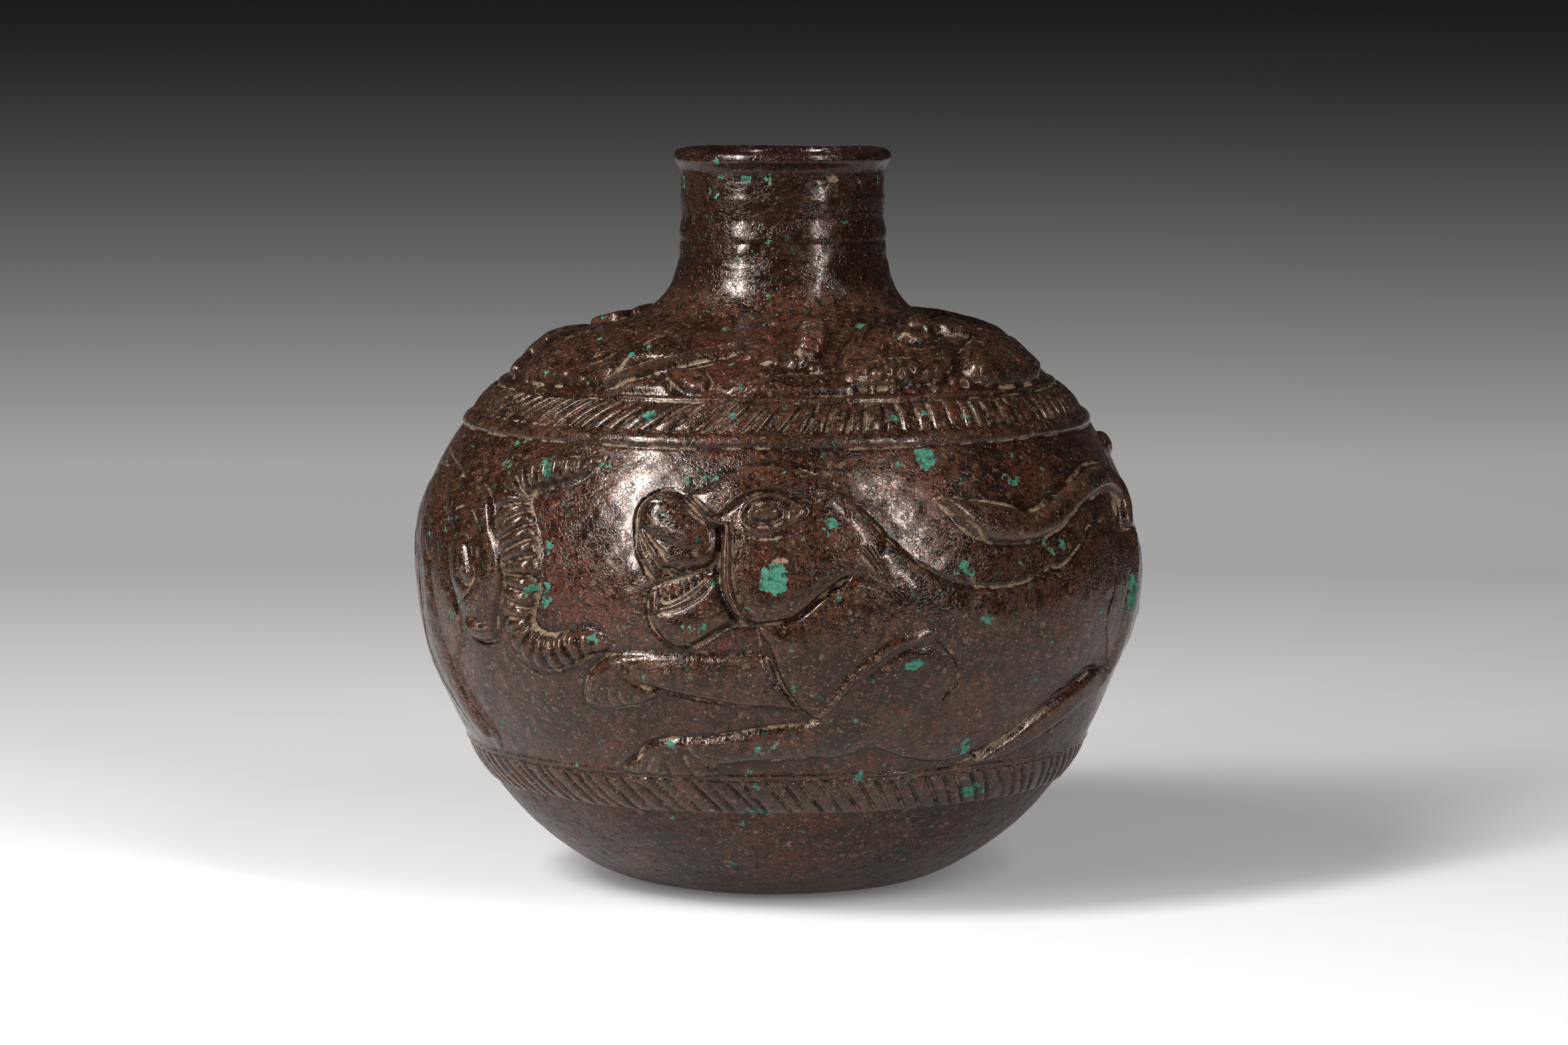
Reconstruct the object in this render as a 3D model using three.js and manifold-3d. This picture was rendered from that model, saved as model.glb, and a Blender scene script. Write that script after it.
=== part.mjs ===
// Bronze jar: a round-bellied vessel with a short neck, a rolled rim and two registers of animals in relief.
// Millimetres, +Z up, origin at the middle of the flat foot. The front of the jar faces -Y.
// An azimuth is a turn round the jar in degrees, 0 at the front and growing to the right of a viewer there.
import * as THREE from "three";
import Module from "manifold-3d";

// Outer profile of the wall, from the foot up. A pull is the length of a Bezier handle.
const FOOT_RADIUS = 34;
const FOOT_PULL = 31;
const BELLY_RADIUS = 100.9;
const BELLY_HEIGHT = 90;
const BOWL_PULL = 42.7;
const DOME_PULL = 28;
const DOME_RISE = 64.3;
const DOME_TOP_RADIUS = 49.8;
const DOME_TOP_SLOPE = 11;
const DOME_TOP_PULL = 27.8;
const NECK_ROOT_PULL = 14.6;
const NECK_ROOT_RISE = 22.6;
const NECK_ROOT_RADIUS = 28.7;
const NECK_FILLET_PULL = 12.1;
const NECK_WAIST_RISE = 9.9;
const NECK_WAIST_RADIUS = 27.8;
const NECK_TOP_RISE = 9.6;
const NECK_TOP_RADIUS = 28.3;
const NECK_LEAN = 1.7; // the neck stands a little off the belly's axis

// Wall, laps and clearances
const WALL = 2.5;
const FOOT_THICKNESS = 3;
const SEAT_GAP = 0.3;
const LAP = 3.2;
const BOWL_JOINT_HEIGHT = 34.5;
const DOME_JOINT_RISE = 44; // above the belly's widest height
const NECK_JOINT_RISE = 5.5; // above the dome's top

// Rolled rim
const RIM_BEAD_RADIUS = 2.3;
const RIM_HEIGHT = 5.4;
const RIM_SPREAD = 1.9;
const RIM_ROLL = [-60, 200]; // the bead's turn about its own middle, from under the rim to inside the mouth

// Hatched bands and the plain lines beside them
const HATCH_STROKES = 108;
const HATCH_RELIEF = 1.9;
const HATCH_VALLEY = 0.7;
const UPPER_HATCH_SLANT = 4.4; // degrees that a stroke leans from its foot to its head
const LOWER_HATCH_SLANT = -5.8;
const UPPER_HATCH_RISE = 41.4; // above the belly's widest height
const UPPER_HATCH_WIDTH = 7.3;
const LOWER_HATCH_BOTTOM = 29.6;
const LOWER_HATCH_WIDTH = 9.8;
const RIDGE_WIDTH = 2.9;
const RIDGE_RELIEF = 1.7;
const LINE_WIDTH = 1.2;
const LINE_RELIEF = 0.9;

// Fineness of the facets
const AROUND = 32;
const CURVE_SAMPLES = 60;

const degrees = THREE.MathUtils.degToRad;

// Heights that follow from the driving sizes
const DOME_TOP_HEIGHT = BELLY_HEIGHT + DOME_RISE;
const NECK_ROOT_HEIGHT = DOME_TOP_HEIGHT + NECK_ROOT_RISE;
const NECK_WAIST_HEIGHT = NECK_ROOT_HEIGHT + NECK_WAIST_RISE;
const NECK_TOP_HEIGHT = NECK_WAIST_HEIGHT + NECK_TOP_RISE;
const NECK_JOINT_HEIGHT = DOME_TOP_HEIGHT + NECK_JOINT_RISE;
const DOME_JOINT_HEIGHT = BELLY_HEIGHT + DOME_JOINT_RISE;
const UPPER_HATCH_BOTTOM = BELLY_HEIGHT + UPPER_HATCH_RISE;
const RIDGE_TOP = UPPER_HATCH_BOTTOM - SEAT_GAP;
const RIDGE_BOTTOM = RIDGE_TOP - RIDGE_WIDTH;
const UPPER_LINE_BOTTOM = UPPER_HATCH_BOTTOM + UPPER_HATCH_WIDTH + SEAT_GAP;
const LOWER_LINE_BOTTOM = LOWER_HATCH_BOTTOM + LOWER_HATCH_WIDTH + SEAT_GAP;
const FRIEZE_MARGIN = 0.6;

// How a raised figure's section rises: shares of its relief at the edge and at its rounded shoulder
const BOSS_EDGE = 0.45;
const BOSS_SHOULDER = 0.88;
const BOSS_BROW = 0.9; // share of the outline where that shoulder lies
const WIDE_STRIP = 8; // half width in mm from which a strip has a rounded section
const RING_STEP = 11.5; // widest step between the rings of a boss, so its flats stay close to the round wall

const patina = {
  wall: new THREE.MeshStandardMaterial({ color: 0x4b382c, roughness: 0.38, metalness: 0.75 }),
  foot: new THREE.MeshStandardMaterial({ color: 0x56342a, roughness: 0.5, metalness: 0.65 }),
  relief: new THREE.MeshStandardMaterial({ color: 0x5a4434, roughness: 0.32, metalness: 0.8 }),
  band: new THREE.MeshStandardMaterial({ color: 0x6a523d, roughness: 0.45, metalness: 0.7 }),
  rim: new THREE.MeshStandardMaterial({ color: 0x4c4a35, roughness: 0.45, metalness: 0.7 }),
};

// The wall's outer curve as points with the height growing from each to the next
function wallCurve() {
  const slope = degrees(DOME_TOP_SLOPE);
  const dx = Math.cos(slope);
  const dz = Math.sin(slope);
  const path = new THREE.Path();
  path.moveTo(FOOT_RADIUS, 0);
  path.bezierCurveTo(
    FOOT_RADIUS + FOOT_PULL, 0,
    BELLY_RADIUS, BELLY_HEIGHT - BOWL_PULL,
    BELLY_RADIUS, BELLY_HEIGHT,
  );
  path.bezierCurveTo(
    BELLY_RADIUS, BELLY_HEIGHT + DOME_PULL,
    DOME_TOP_RADIUS + DOME_TOP_PULL * dx, DOME_TOP_HEIGHT - DOME_TOP_PULL * dz,
    DOME_TOP_RADIUS, DOME_TOP_HEIGHT,
  );
  path.bezierCurveTo(
    DOME_TOP_RADIUS - NECK_ROOT_PULL * dx, DOME_TOP_HEIGHT + NECK_ROOT_PULL * dz,
    NECK_ROOT_RADIUS, NECK_ROOT_HEIGHT - NECK_FILLET_PULL,
    NECK_ROOT_RADIUS, NECK_ROOT_HEIGHT,
  );
  path.splineThru([
    new THREE.Vector2(NECK_WAIST_RADIUS, NECK_WAIST_HEIGHT),
    new THREE.Vector2(NECK_TOP_RADIUS, NECK_TOP_HEIGHT),
  ]);
  return path.getPoints(CURVE_SAMPLES);
}

const curve = wallCurve();

// Length along the wall from the foot to each point of the curve
const arcs = curve.reduce((sums, p, i) => [...sums, i ? sums[i - 1] + p.distanceTo(curve[i - 1]) : 0], []);

// Radius and outward normal of the wall's outer face at a height, and the length along the wall up to it
function wallAt(height) {
  const last = curve.length - 2;
  let i = 0;
  while (i < last && curve[i + 1].y < height) i += 1;
  const a = curve[i];
  const b = curve[i + 1];
  const t = (height - a.y) / (b.y - a.y);
  const along = b.clone().sub(a).normalize();
  return {
    radius: a.x + (b.x - a.x) * t,
    normal: new THREE.Vector2(along.y, -along.x),
    arc: arcs[i] + (arcs[i + 1] - arcs[i]) * t,
  };
}

// Height of the point at a length along the wall
function heightAt(arc) {
  const last = curve.length - 2;
  let i = 0;
  while (i < last && arcs[i + 1] < arc) i += 1;
  return THREE.MathUtils.mapLinear(arc, arcs[i], arcs[i + 1], curve[i].y, curve[i + 1].y);
}

// Point [radius, height] that stands off the outer face at a height: out with a lift above 0, in below 0
function offWall(height, lift) {
  const { radius, normal } = wallAt(height);
  return new THREE.Vector2(radius + normal.x * lift, height + normal.y * lift);
}

// How far the axis has moved to +X at a height, because the neck leans
function axisShift(height) {
  return NECK_LEAN * THREE.MathUtils.smoothstep(height, DOME_JOINT_HEIGHT, NECK_ROOT_HEIGHT);
}

function leanWithNeck(geometry) {
  const p = geometry.attributes.position;
  for (let i = 0; i < p.count; i += 1) p.setX(i, p.getX(i) + axisShift(p.getZ(i)));
  return geometry;
}

// A turned shell or ring from a profile of [radius, height] points that closes on itself or on the axis
function turned(profile) {
  const lathe = new THREE.LatheGeometry(profile, AROUND);
  lathe.rotateX(Math.PI / 2);
  return leanWithNeck(lathe);
}

function named(name, geometry, material) {
  const mesh = new THREE.Mesh(geometry, material);
  mesh.name = name;
  return mesh;
}

// Values from one to another, both included, in even steps
function evenly(from, to, steps) {
  return Array.from({ length: steps + 1 }, (_, i) => from + ((to - from) * i) / steps);
}

// Heights from one to another in steps that are even along the wall
function alongWall(from, to, steps) {
  return evenly(wallAt(from).arc, wallAt(to).arc, steps).map(heightAt);
}

const tongueOut = -(WALL - SEAT_GAP) / 2; // inner side of an outer tongue
const tongueIn = -(WALL + SEAT_GAP) / 2; // outer side of an inner tongue

// A lap that ends a shell at the top: its inner tongue stands behind the next shell's outer one
function lapAbove(joint) {
  return [
    offWall(joint, 0),
    offWall(joint, tongueIn),
    offWall(joint + LAP, tongueIn),
    offWall(joint + LAP, -WALL),
  ];
}

// A lap that starts a shell at the bottom, over the tongue of the one below
function lapBelow(joint) {
  return [
    offWall(joint + LAP + SEAT_GAP, -WALL),
    offWall(joint + LAP + SEAT_GAP, tongueOut),
    offWall(joint + SEAT_GAP, tongueOut),
    offWall(joint + SEAT_GAP, 0),
  ];
}

function closed(points) {
  return [...points, points[0].clone()];
}

function footBowl() {
  const floor = FOOT_THICKNESS;
  const outer = alongWall(0, BOWL_JOINT_HEIGHT, 5).map((h) => offWall(h, 0));
  const inner = alongWall(BOWL_JOINT_HEIGHT, 0, 4)
    .map((h) => offWall(h, -WALL))
    .filter((p) => p.y > floor + SEAT_GAP);
  return turned([
    new THREE.Vector2(0, 0),
    ...outer.slice(0, -1),
    ...lapAbove(BOWL_JOINT_HEIGHT),
    ...inner,
    new THREE.Vector2(FOOT_RADIUS, floor),
    new THREE.Vector2(0, floor),
  ]);
}

// A shell of the wall between two laps
function wallShell(bottom, top, steps) {
  const outer = alongWall(bottom + SEAT_GAP, top, steps).slice(1, -1);
  const inner = alongWall(top + LAP, bottom + LAP + SEAT_GAP, steps - 1).slice(1, -1);
  return turned(
    closed([
      ...lapBelow(bottom),
      ...outer.map((h) => offWall(h, 0)),
      ...lapAbove(top),
      ...inner.map((h) => offWall(h, -WALL)),
    ]),
  );
}

// The neck ends in a bevelled tongue that the rolled rim sits over
function neckSleeve() {
  const outer = alongWall(NECK_JOINT_HEIGHT + SEAT_GAP, NECK_TOP_HEIGHT, 5).slice(1);
  const inner = alongWall(NECK_TOP_HEIGHT, NECK_JOINT_HEIGHT + LAP + SEAT_GAP, 4).slice(0, -1);
  const tongue = RIM_HEIGHT - RIM_BEAD_RADIUS;
  return turned(
    closed([
      ...lapBelow(NECK_JOINT_HEIGHT),
      ...outer.map((h) => offWall(h, 0)),
      new THREE.Vector2(NECK_TOP_RADIUS + tongueIn, NECK_TOP_HEIGHT),
      new THREE.Vector2(NECK_TOP_RADIUS + tongueIn, NECK_TOP_HEIGHT + tongue),
      new THREE.Vector2(NECK_TOP_RADIUS - WALL, NECK_TOP_HEIGHT + tongue),
      ...inner.map((h) => offWall(h, -WALL)),
    ]),
  );
}

// The rim: a flared collar over the neck's tongue, rolled outwards into a round bead
function rolledRim() {
  const bottom = NECK_TOP_HEIGHT + SEAT_GAP;
  const tongueTop = NECK_TOP_HEIGHT + RIM_HEIGHT - RIM_BEAD_RADIUS + SEAT_GAP;
  const centre = new THREE.Vector2(
    NECK_TOP_RADIUS + RIM_SPREAD - RIM_BEAD_RADIUS,
    NECK_TOP_HEIGHT + RIM_HEIGHT,
  );
  const bead = evenly(...RIM_ROLL, 5).map((turn) => {
    const a = degrees(turn);
    return new THREE.Vector2(
      centre.x + RIM_BEAD_RADIUS * Math.cos(a),
      centre.y + RIM_BEAD_RADIUS * Math.sin(a),
    );
  });
  return turned(
    closed([
      new THREE.Vector2(NECK_TOP_RADIUS + tongueOut, tongueTop),
      new THREE.Vector2(NECK_TOP_RADIUS + tongueOut, bottom),
      new THREE.Vector2(NECK_TOP_RADIUS, bottom),
      ...bead,
      new THREE.Vector2(NECK_TOP_RADIUS - WALL, tongueTop),
    ]),
  );
}

// A plain bead round the wall, its crown laid out on a half circle in even turns
function plainBead(bottom, width, relief, facets) {
  const crown = evenly(0, Math.PI, facets).map((a) =>
    offWall(bottom + (width * (1 - Math.cos(a))) / 2, SEAT_GAP + relief * Math.sin(a)),
  );
  return turned(closed(crown));
}

// A closed surface from rings of points, each ring joined to the next and the last to the first
function ringSurface(rings) {
  const n = rings[0].length;
  const index = [];
  rings.forEach((_, j) => {
    const k = (j + 1) % rings.length;
    for (let i = 0; i < n; i += 1) {
      const m = (i + 1) % n;
      index.push(j * n + i, j * n + m, k * n + m, j * n + i, k * n + m, k * n + i);
    }
  });
  return indexed(rings.flat(), index);
}

function indexed(points, index) {
  const geometry = new THREE.BufferGeometry().setFromPoints(points);
  geometry.setIndex(index);
  geometry.computeVertexNormals();
  return geometry;
}

// Point on or off the wall at an azimuth and a height
function onWall(azimuth, height, lift) {
  const p = offWall(height, lift);
  const a = degrees(azimuth);
  return new THREE.Vector3(p.x * Math.sin(a) + axisShift(p.y), -p.x * Math.cos(a), p.y);
}

// A ring of slanted strokes round the wall: ridges and valleys in turn, like the lay of a rope
function hatchedBand(bottom, width, slant) {
  const turns = Array.from({ length: 2 * HATCH_STROKES }, (_, i) => (i * 180) / HATCH_STROKES);
  const ring = (share, ridge, valley) =>
    turns.map((turn, i) =>
      onWall(turn + slant * (share - 0.5), bottom + share * width, SEAT_GAP + (i % 2 ? valley : ridge)),
    );
  return ringSurface([ring(0, 0, 0), ring(0.5, HATCH_RELIEF, HATCH_VALLEY), ring(1, 0, 0)]);
}

// A register is the strip of wall that a set of figures is laid out on. Its drawing runs from one drawn
// height to another and is stretched to fit between the bands. Its figures are shaped in flat millimetres:
// round the jar at the register's own scale, and along the wall's curve.
const frieze = {
  drawn: [42, 128],
  fitted: [
    LOWER_LINE_BOTTOM + LINE_WIDTH + FRIEZE_MARGIN,
    RIDGE_BOTTOM - FRIEZE_MARGIN,
  ],
  mmPerDegree: degrees(BELLY_RADIUS),
};
const shoulder = {
  drawn: [141, 158],
  fitted: [UPPER_LINE_BOTTOM + LINE_WIDTH + FRIEZE_MARGIN / 2, NECK_JOINT_HEIGHT - FRIEZE_MARGIN],
  mmPerDegree: degrees((BELLY_RADIUS + NECK_ROOT_RADIUS) / 2),
};

// A drawn point in the register's flat millimetres, with the half width that a strip has there
function flatPoint(register, [azimuth, drawn, half = 0]) {
  const { drawn: [low, high], fitted: [bottom, top] } = register;
  const height = THREE.MathUtils.mapLinear(drawn, low, high, bottom, top);
  const stretch = (top - bottom) / (high - low);
  return new THREE.Vector3(azimuth * register.mmPerDegree, wallAt(height).arc, half * stretch);
}

// Where a figure goes: round the jar by a turn, or mirrored about an azimuth
const asDrawn = (azimuth) => azimuth;
const turnedBy = (turn) => (azimuth) => azimuth + turn;
const mirroredAt = (middle) => (azimuth) => 2 * middle - azimuth;

// A surface between rings that starts and ends in a point, turned face out whichever way it was laid
function cappedSurface(start, rings, end) {
  const n = rings[0].length;
  const points = [start, ...rings.flat(), end];
  const index = [];
  const at = (j, i) => 1 + j * n + (i % n);
  for (let i = 0; i < n; i += 1) {
    index.push(0, at(0, i + 1), at(0, i));
    index.push(points.length - 1, at(rings.length - 1, i), at(rings.length - 1, i + 1));
    for (let j = 0; j + 1 < rings.length; j += 1) {
      index.push(at(j, i), at(j, i + 1), at(j + 1, i + 1));
      index.push(at(j, i), at(j + 1, i + 1), at(j + 1, i));
    }
  }
  return faceOut(points, index);
}

function faceOut(points, index) {
  let volume = 0;
  for (let i = 0; i < index.length; i += 3) {
    const [a, b, c] = [points[index[i]], points[index[i + 1]], points[index[i + 2]]];
    volume += a.dot(b.clone().cross(c));
  }
  if (volume < 0) {
    for (let i = 0; i < index.length; i += 3) {
      const swap = index[i + 1];
      index[i + 1] = index[i + 2];
      index[i + 2] = swap;
    }
  }
  return indexed(points, index);
}

// A drawn outline as an even, smooth loop in flat millimetres, with its middle
function smoothLoop(register, outline, steps) {
  const flat = outline.map((drawn) => flatPoint(register, drawn));
  const loop = new THREE.CatmullRomCurve3(flat, true, "centripetal").getSpacedPoints(steps);
  loop.pop();
  const middle = loop.reduce((sum, p) => sum.add(p), new THREE.Vector3()).divideScalar(steps);
  return { loop, middle };
}

// Places flat millimetres of a register on the wall, or off it by a lift
function placer(register, where) {
  return (p, lift) => onWall(where(p.x / register.mmPerDegree), heightAt(p.y), lift);
}

// A boss: a pillow over a drawn outline, whose seat follows the wall at the seat gap
function boss(register, where, outline, relief, steps = 16) {
  const { loop, middle } = smoothLoop(register, outline, steps);
  const place = placer(register, where);
  const ring = (share, rise) =>
    loop.map((p) => place(middle.clone().lerp(p, share), SEAT_GAP + rise * relief));
  const reach = Math.max(...loop.map((p) => p.distanceTo(middle)));
  const count = Math.ceil(reach / RING_STEP);
  const shares = evenly(0, 1, count).slice(1);
  const crown = shares.slice(0, -1).reverse();
  return cappedSurface(
    place(middle, SEAT_GAP),
    [
      ...shares.map((share) => ring(share, 0)),
      ring(1, BOSS_EDGE),
      ring(BOSS_BROW, BOSS_SHOULDER),
      ...crown.map((share) => ring(BOSS_BROW * share, 1 - (1 - BOSS_SHOULDER) * share ** 2)),
    ],
    place(middle, SEAT_GAP + relief),
  );
}

// A strip along a drawn spine of [azimuth, height, half width]: a leg, a tail, or a ribbed mane
function strip(register, where, spine, relief, { stations = 8, ribs = 0 } = {}) {
  const count = ribs ? 2 * ribs + 1 : stations;
  const flat = spine.map((drawn) => flatPoint(register, drawn));
  const wide = Math.max(...flat.map((p) => p.z)) > WIDE_STRIP;
  const line = new THREE.CatmullRomCurve3(flat, false, "centripetal").getSpacedPoints(count - 1);
  const place = placer(register, where);
  const rings = line.map((p, i) => {
    const ahead = line[Math.min(i + 1, count - 1)];
    const behind = line[Math.max(i - 1, 0)];
    const across = new THREE.Vector3(behind.y - ahead.y, ahead.x - behind.x, 0).normalize();
    const rise = ribs && i % 2 === 0 ? 0.55 * relief : relief;
    const at = (share, lift) => place(p.clone().addScaledVector(across, share * p.z), SEAT_GAP + lift);
    const edge = BOSS_EDGE * rise;
    return wide
      ? [at(-1, 0), at(-1, edge), at(-0.5, rise), at(0.5, rise), at(1, edge), at(1, 0), at(0, 0)]
      : [at(-1, 0), at(-0.65, rise), at(0.65, rise), at(1, 0)];
  });
  const end = (i) => place(line[i], SEAT_GAP + 0.5 * BOSS_EDGE * relief);
  return cappedSurface(end(0), rings, end(count - 1));
}

// The main beast's pieces, drawn on the frieze. It faces left with open jaws and curls its tail over its back.
const BEAST_RELIEF = 3.2;
const BEAST = {
  cranium: [
    [-12.6, 114.6], [-9.8, 119.6], [-6.2, 122.6], [-1.5, 123.6], [3.1, 122.9], [7, 120.4], [10.4, 116.2],
    [13.6, 111.4], [15.8, 107], [16.8, 100], [15.6, 94.4], [11.4, 94], [8.3, 91.4], [5.2, 86.9],
    [1.6, 84.6], [-2.4, 84], [-5.2, 87.6], [-6.9, 93], [-7.6, 99], [-7.2, 104.6], [-9.4, 110.4],
  ],
  eye: [[-5, 110.2], [-3.6, 112.2], [-1.4, 113.1], [1.4, 112.6], [3.2, 111.6], [0.8, 109.6], [-2, 108], [-4, 108.8]],
  muzzle: [
    [-21.5, 110], [-20.8, 114.2], [-18, 116.6], [-14.6, 115], [-12.2, 111.8], [-9.9, 108.6], [-9.2, 103],
    [-9.6, 99.2], [-12.2, 97.6], [-15, 97], [-17.6, 95], [-19.6, 97.4], [-20.9, 102],
  ],
  lowerJaw: [
    [-9.2, 95.4], [-11, 92.6], [-13, 89.8], [-15.6, 88], [-18, 88.6], [-18.5, 84.6], [-17.4, 80],
    [-15, 77.2], [-12.4, 78], [-9.4, 81.4], [-7, 83.6], [-6.2, 85.6], [-7.2, 89.4], [-8.2, 92.8],
  ],
  neck: [
    [-1.6, 81.6], [1.8, 82.6], [5.8, 85], [9, 89.8], [12.6, 91.8], [16.8, 92.4], [19, 96.6], [21, 97],
    [23.6, 93.6], [26.2, 90.4], [26.2, 86], [25.8, 82], [20, 80.4], [14.2, 76], [9.4, 68.6], [5.8, 62.4],
    [3.8, 65], [1.4, 71], [-0.4, 77],
  ],
  trunk: [
    [30.5, 88.8], [36, 88.4], [42, 89.4], [47, 91.4], [52, 94.2], [56, 98.6], [60, 101.6], [64.4, 101.2],
    [65.4, 96], [63, 90], [61, 83], [60.6, 76], [61.8, 70], [60.3, 66.2], [56, 62.6], [51, 60.6], [47.4, 56.6],
    [44, 52.4], [40, 49.6], [34, 46], [27, 45.4], [23.4, 48.8], [28.5, 57], [31, 64], [30.8, 71], [28.6, 77.5],
    [27.6, 82], [28, 86.6],
  ],
  tail: [
    [27.2, 113.6, 1.1], [30, 111.6, 3], [34, 108.4, 4.2], [38.4, 106.6, 4.8], [43, 105.6, 3.8], [48, 107.4, 3.5],
    [53, 110.6, 3.5], [59, 113.2, 3.7], [65, 115.2, 4], [70.4, 115, 4], [74.2, 111.8, 3.6], [75, 107.4, 3.4],
    [73.6, 103.4, 2.6],
  ],
  upperForeleg: [
    [-21.6, 69.2, 3.6], [-17, 68.7, 4.2], [-12, 68, 4.9], [-7, 67.4, 5.6], [-3, 67, 5.8], [0.4, 65.6, 4.2],
  ],
  upperPaw: [
    [-24, 72.8], [-27, 71.6], [-29.8, 68.2], [-31.2, 64], [-31.2, 60.2], [-28.4, 59.2], [-25, 59.6],
    [-22.4, 60.4], [-21.6, 62.6], [-23, 64.4], [-24, 66.6], [-24.4, 69.6],
  ],
  lowerForeleg: [
    [-13.4, 47.9, 3.1], [-9, 48.1, 3.5], [-4, 49, 4], [1, 50, 4.3], [6, 52, 4.2], [10.4, 56.4, 5.4], [14.6, 62.4, 7.6],
    [18.6, 68, 8.6], [22.4, 72.6, 6.2], [24.6, 75.6, 3],
  ],
  lowerPaw: [
    [-15.6, 48.8], [-18.6, 49.6], [-21.6, 48.2], [-24, 45.6], [-27, 43.2], [-22, 42.5], [-16, 42.5], [-12.6, 43],
    [-14.4, 45.6],
  ],
  hindLeg: [
    [74.6, 98, 3], [73.6, 91, 9], [72.8, 82, 13.4], [71.6, 73, 13.2], [68.6, 65, 9.4], [62.8, 58.8, 5.6],
    [56, 54, 4.6], [49.8, 49.8, 4.2], [43.6, 46, 3.4], [38.4, 43.6, 1.8],
  ],
};

// The masked beast seen from the front, with its ribbed mane beside it
const MASK_RELIEF = 3.4;
const MASK = {
  face: [
    [-65.4, 112.6], [-62.6, 104], [-61, 98], [-60, 91], [-58.2, 84.4], [-56.2, 79], [-54.6, 75.2], [-51.8, 74.2],
    [-49.4, 76], [-48.4, 81], [-47.4, 86], [-46.8, 92], [-47.8, 97.4], [-50.2, 101.6], [-52, 107],
    [-55.6, 110.4], [-60.4, 112.4],
  ],
  brow: [[-80, 121.6, 3.2], [-74, 122.4, 4], [-67.6, 121.6, 4], [-62.2, 119.4, 3.4], [-58.2, 115.4, 1.8]],
  foreleg: [
    [-70.8, 88, 3], [-70.2, 80, 6], [-69, 71, 7], [-67.2, 62, 6.4], [-64.6, 54, 5], [-62, 48.4, 3.8], [-60.4, 45, 2.2],
  ],
  mane: [
    [-31.6, 123.2, 2], [-34.6, 121.2, 3.4], [-38.6, 120.2, 3.9], [-43.2, 118.6, 4.2], [-46.4, 114.6, 4.6],
    [-46.6, 109.6, 5], [-44.4, 104.6, 5.4], [-42.2, 99.6, 5.8], [-41.8, 94.4, 6], [-42.2, 89.2, 5.8],
    [-43.2, 84, 5.2], [-42.8, 78.6, 4.6], [-40.6, 74.2, 4.4], [-36.6, 72.6, 4.2], [-32.4, 75.2, 4],
    [-28.6, 76.6, 2.8], [-26.2, 75.8, 1.4],
  ],
};
const MANE_RIBS = 27;
const MASK_MIRROR = 29;

// The shoulder's animals: one lies to the left with its haunch to the front, one crouches to the right
const SHOULDER_RELIEF = 1.8;
const SHOULDER = {
  lyingHead: [[-68, 144.9], [-60, 145.4], [-51, 145.2], [-45.6, 144], [-44, 142], [-52, 141.4], [-61, 141.4], [-68.6, 142]],
  lyingBack: [
    [-82, 150], [-75, 152.4], [-67, 153.6], [-58, 154.2], [-50, 154.8], [-46.4, 153.8], [-45, 151],
    [-45.4, 148.2], [-53, 147.2], [-62, 147.4], [-73, 148.4],
  ],
  lyingHaunch: [
    [-42.8, 154.2], [-38.6, 155.2], [-33.4, 153.8], [-29.8, 151.2], [-29.6, 148.9], [-33.4, 147.3], [-36.6, 145.6],
    [-39, 143.6], [-41, 144], [-40.2, 147], [-41, 150.4],
  ],
  lyingForeleg: [
    [-36.6, 142.5, 1.3], [-33.2, 144.7, 1.9], [-28.8, 146.6, 2.1], [-23.4, 147.8, 2.1], [-18, 148.8, 2.1], [-13.6, 150.4, 1.5],
  ],
  maneLocks: [
    [3.8, 146.4, 1.6], [1.6, 149, 2.5], [3.2, 151.6, 2.9], [6.8, 154, 3], [11.4, 155.8, 2.8], [16.4, 155.8, 2.2], [19.4, 154.4, 1.4],
  ],
  crouchingHead: [
    [15.2, 149.4], [18.8, 152], [23.4, 153.6], [29.4, 154.8], [37, 155], [43.6, 153.8], [45.2, 151.2], [44.2, 148],
    [39.6, 145.4], [33, 144], [26, 143.6], [20, 144.6], [16, 146.8],
  ],
  crouchingEar: [[48.6, 152.2], [50.8, 154.4], [57, 155.6], [65, 156], [73.6, 155.6], [67, 154.2], [58, 153.6], [52, 151.9]],
  crouchingBody: [
    [48.8, 148.8], [54, 150.4], [61, 151.5], [69, 151.8], [76.4, 150.4], [78.6, 147.4], [74.6, 144], [67, 142],
    [58, 141.6], [51, 142.2], [47.6, 145],
  ],
};
const LOCK_RIBS = 8;

const wasm = await Module();
wasm.setup();

function toManifold(geometry) {
  return new wasm.Manifold(
    new wasm.Mesh({
      numProp: 3,
      vertProperties: new Float32Array(geometry.attributes.position.array),
      triVerts: new Uint32Array(geometry.index.array),
    }),
  );
}

function fromManifold(solid) {
  const mesh = solid.getMesh();
  const geometry = new THREE.BufferGeometry();
  geometry.setAttribute("position", new THREE.BufferAttribute(mesh.vertProperties, 3));
  geometry.setIndex(new THREE.BufferAttribute(mesh.triVerts, 1));
  geometry.computeVertexNormals();
  return geometry;
}

// A straight-sided plug over an outline grown by a clearance, from under a figure's seat to above its crown
function socket(register, where, outline, steps, clearance) {
  const { loop, middle } = smoothLoop(register, outline, steps);
  const place = placer(register, where);
  const ring = (lift) =>
    loop.map((p) => {
      const arm = p.clone().sub(middle);
      return place(middle.clone().add(arm.setLength(arm.length() + clearance)), lift);
    });
  const [low, high] = [-SEAT_GAP, 2 * BEAST_RELIEF];
  return cappedSurface(place(middle, low), [ring(low), ring(high)], place(middle, high));
}

const EYE_STEPS = 10;

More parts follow.
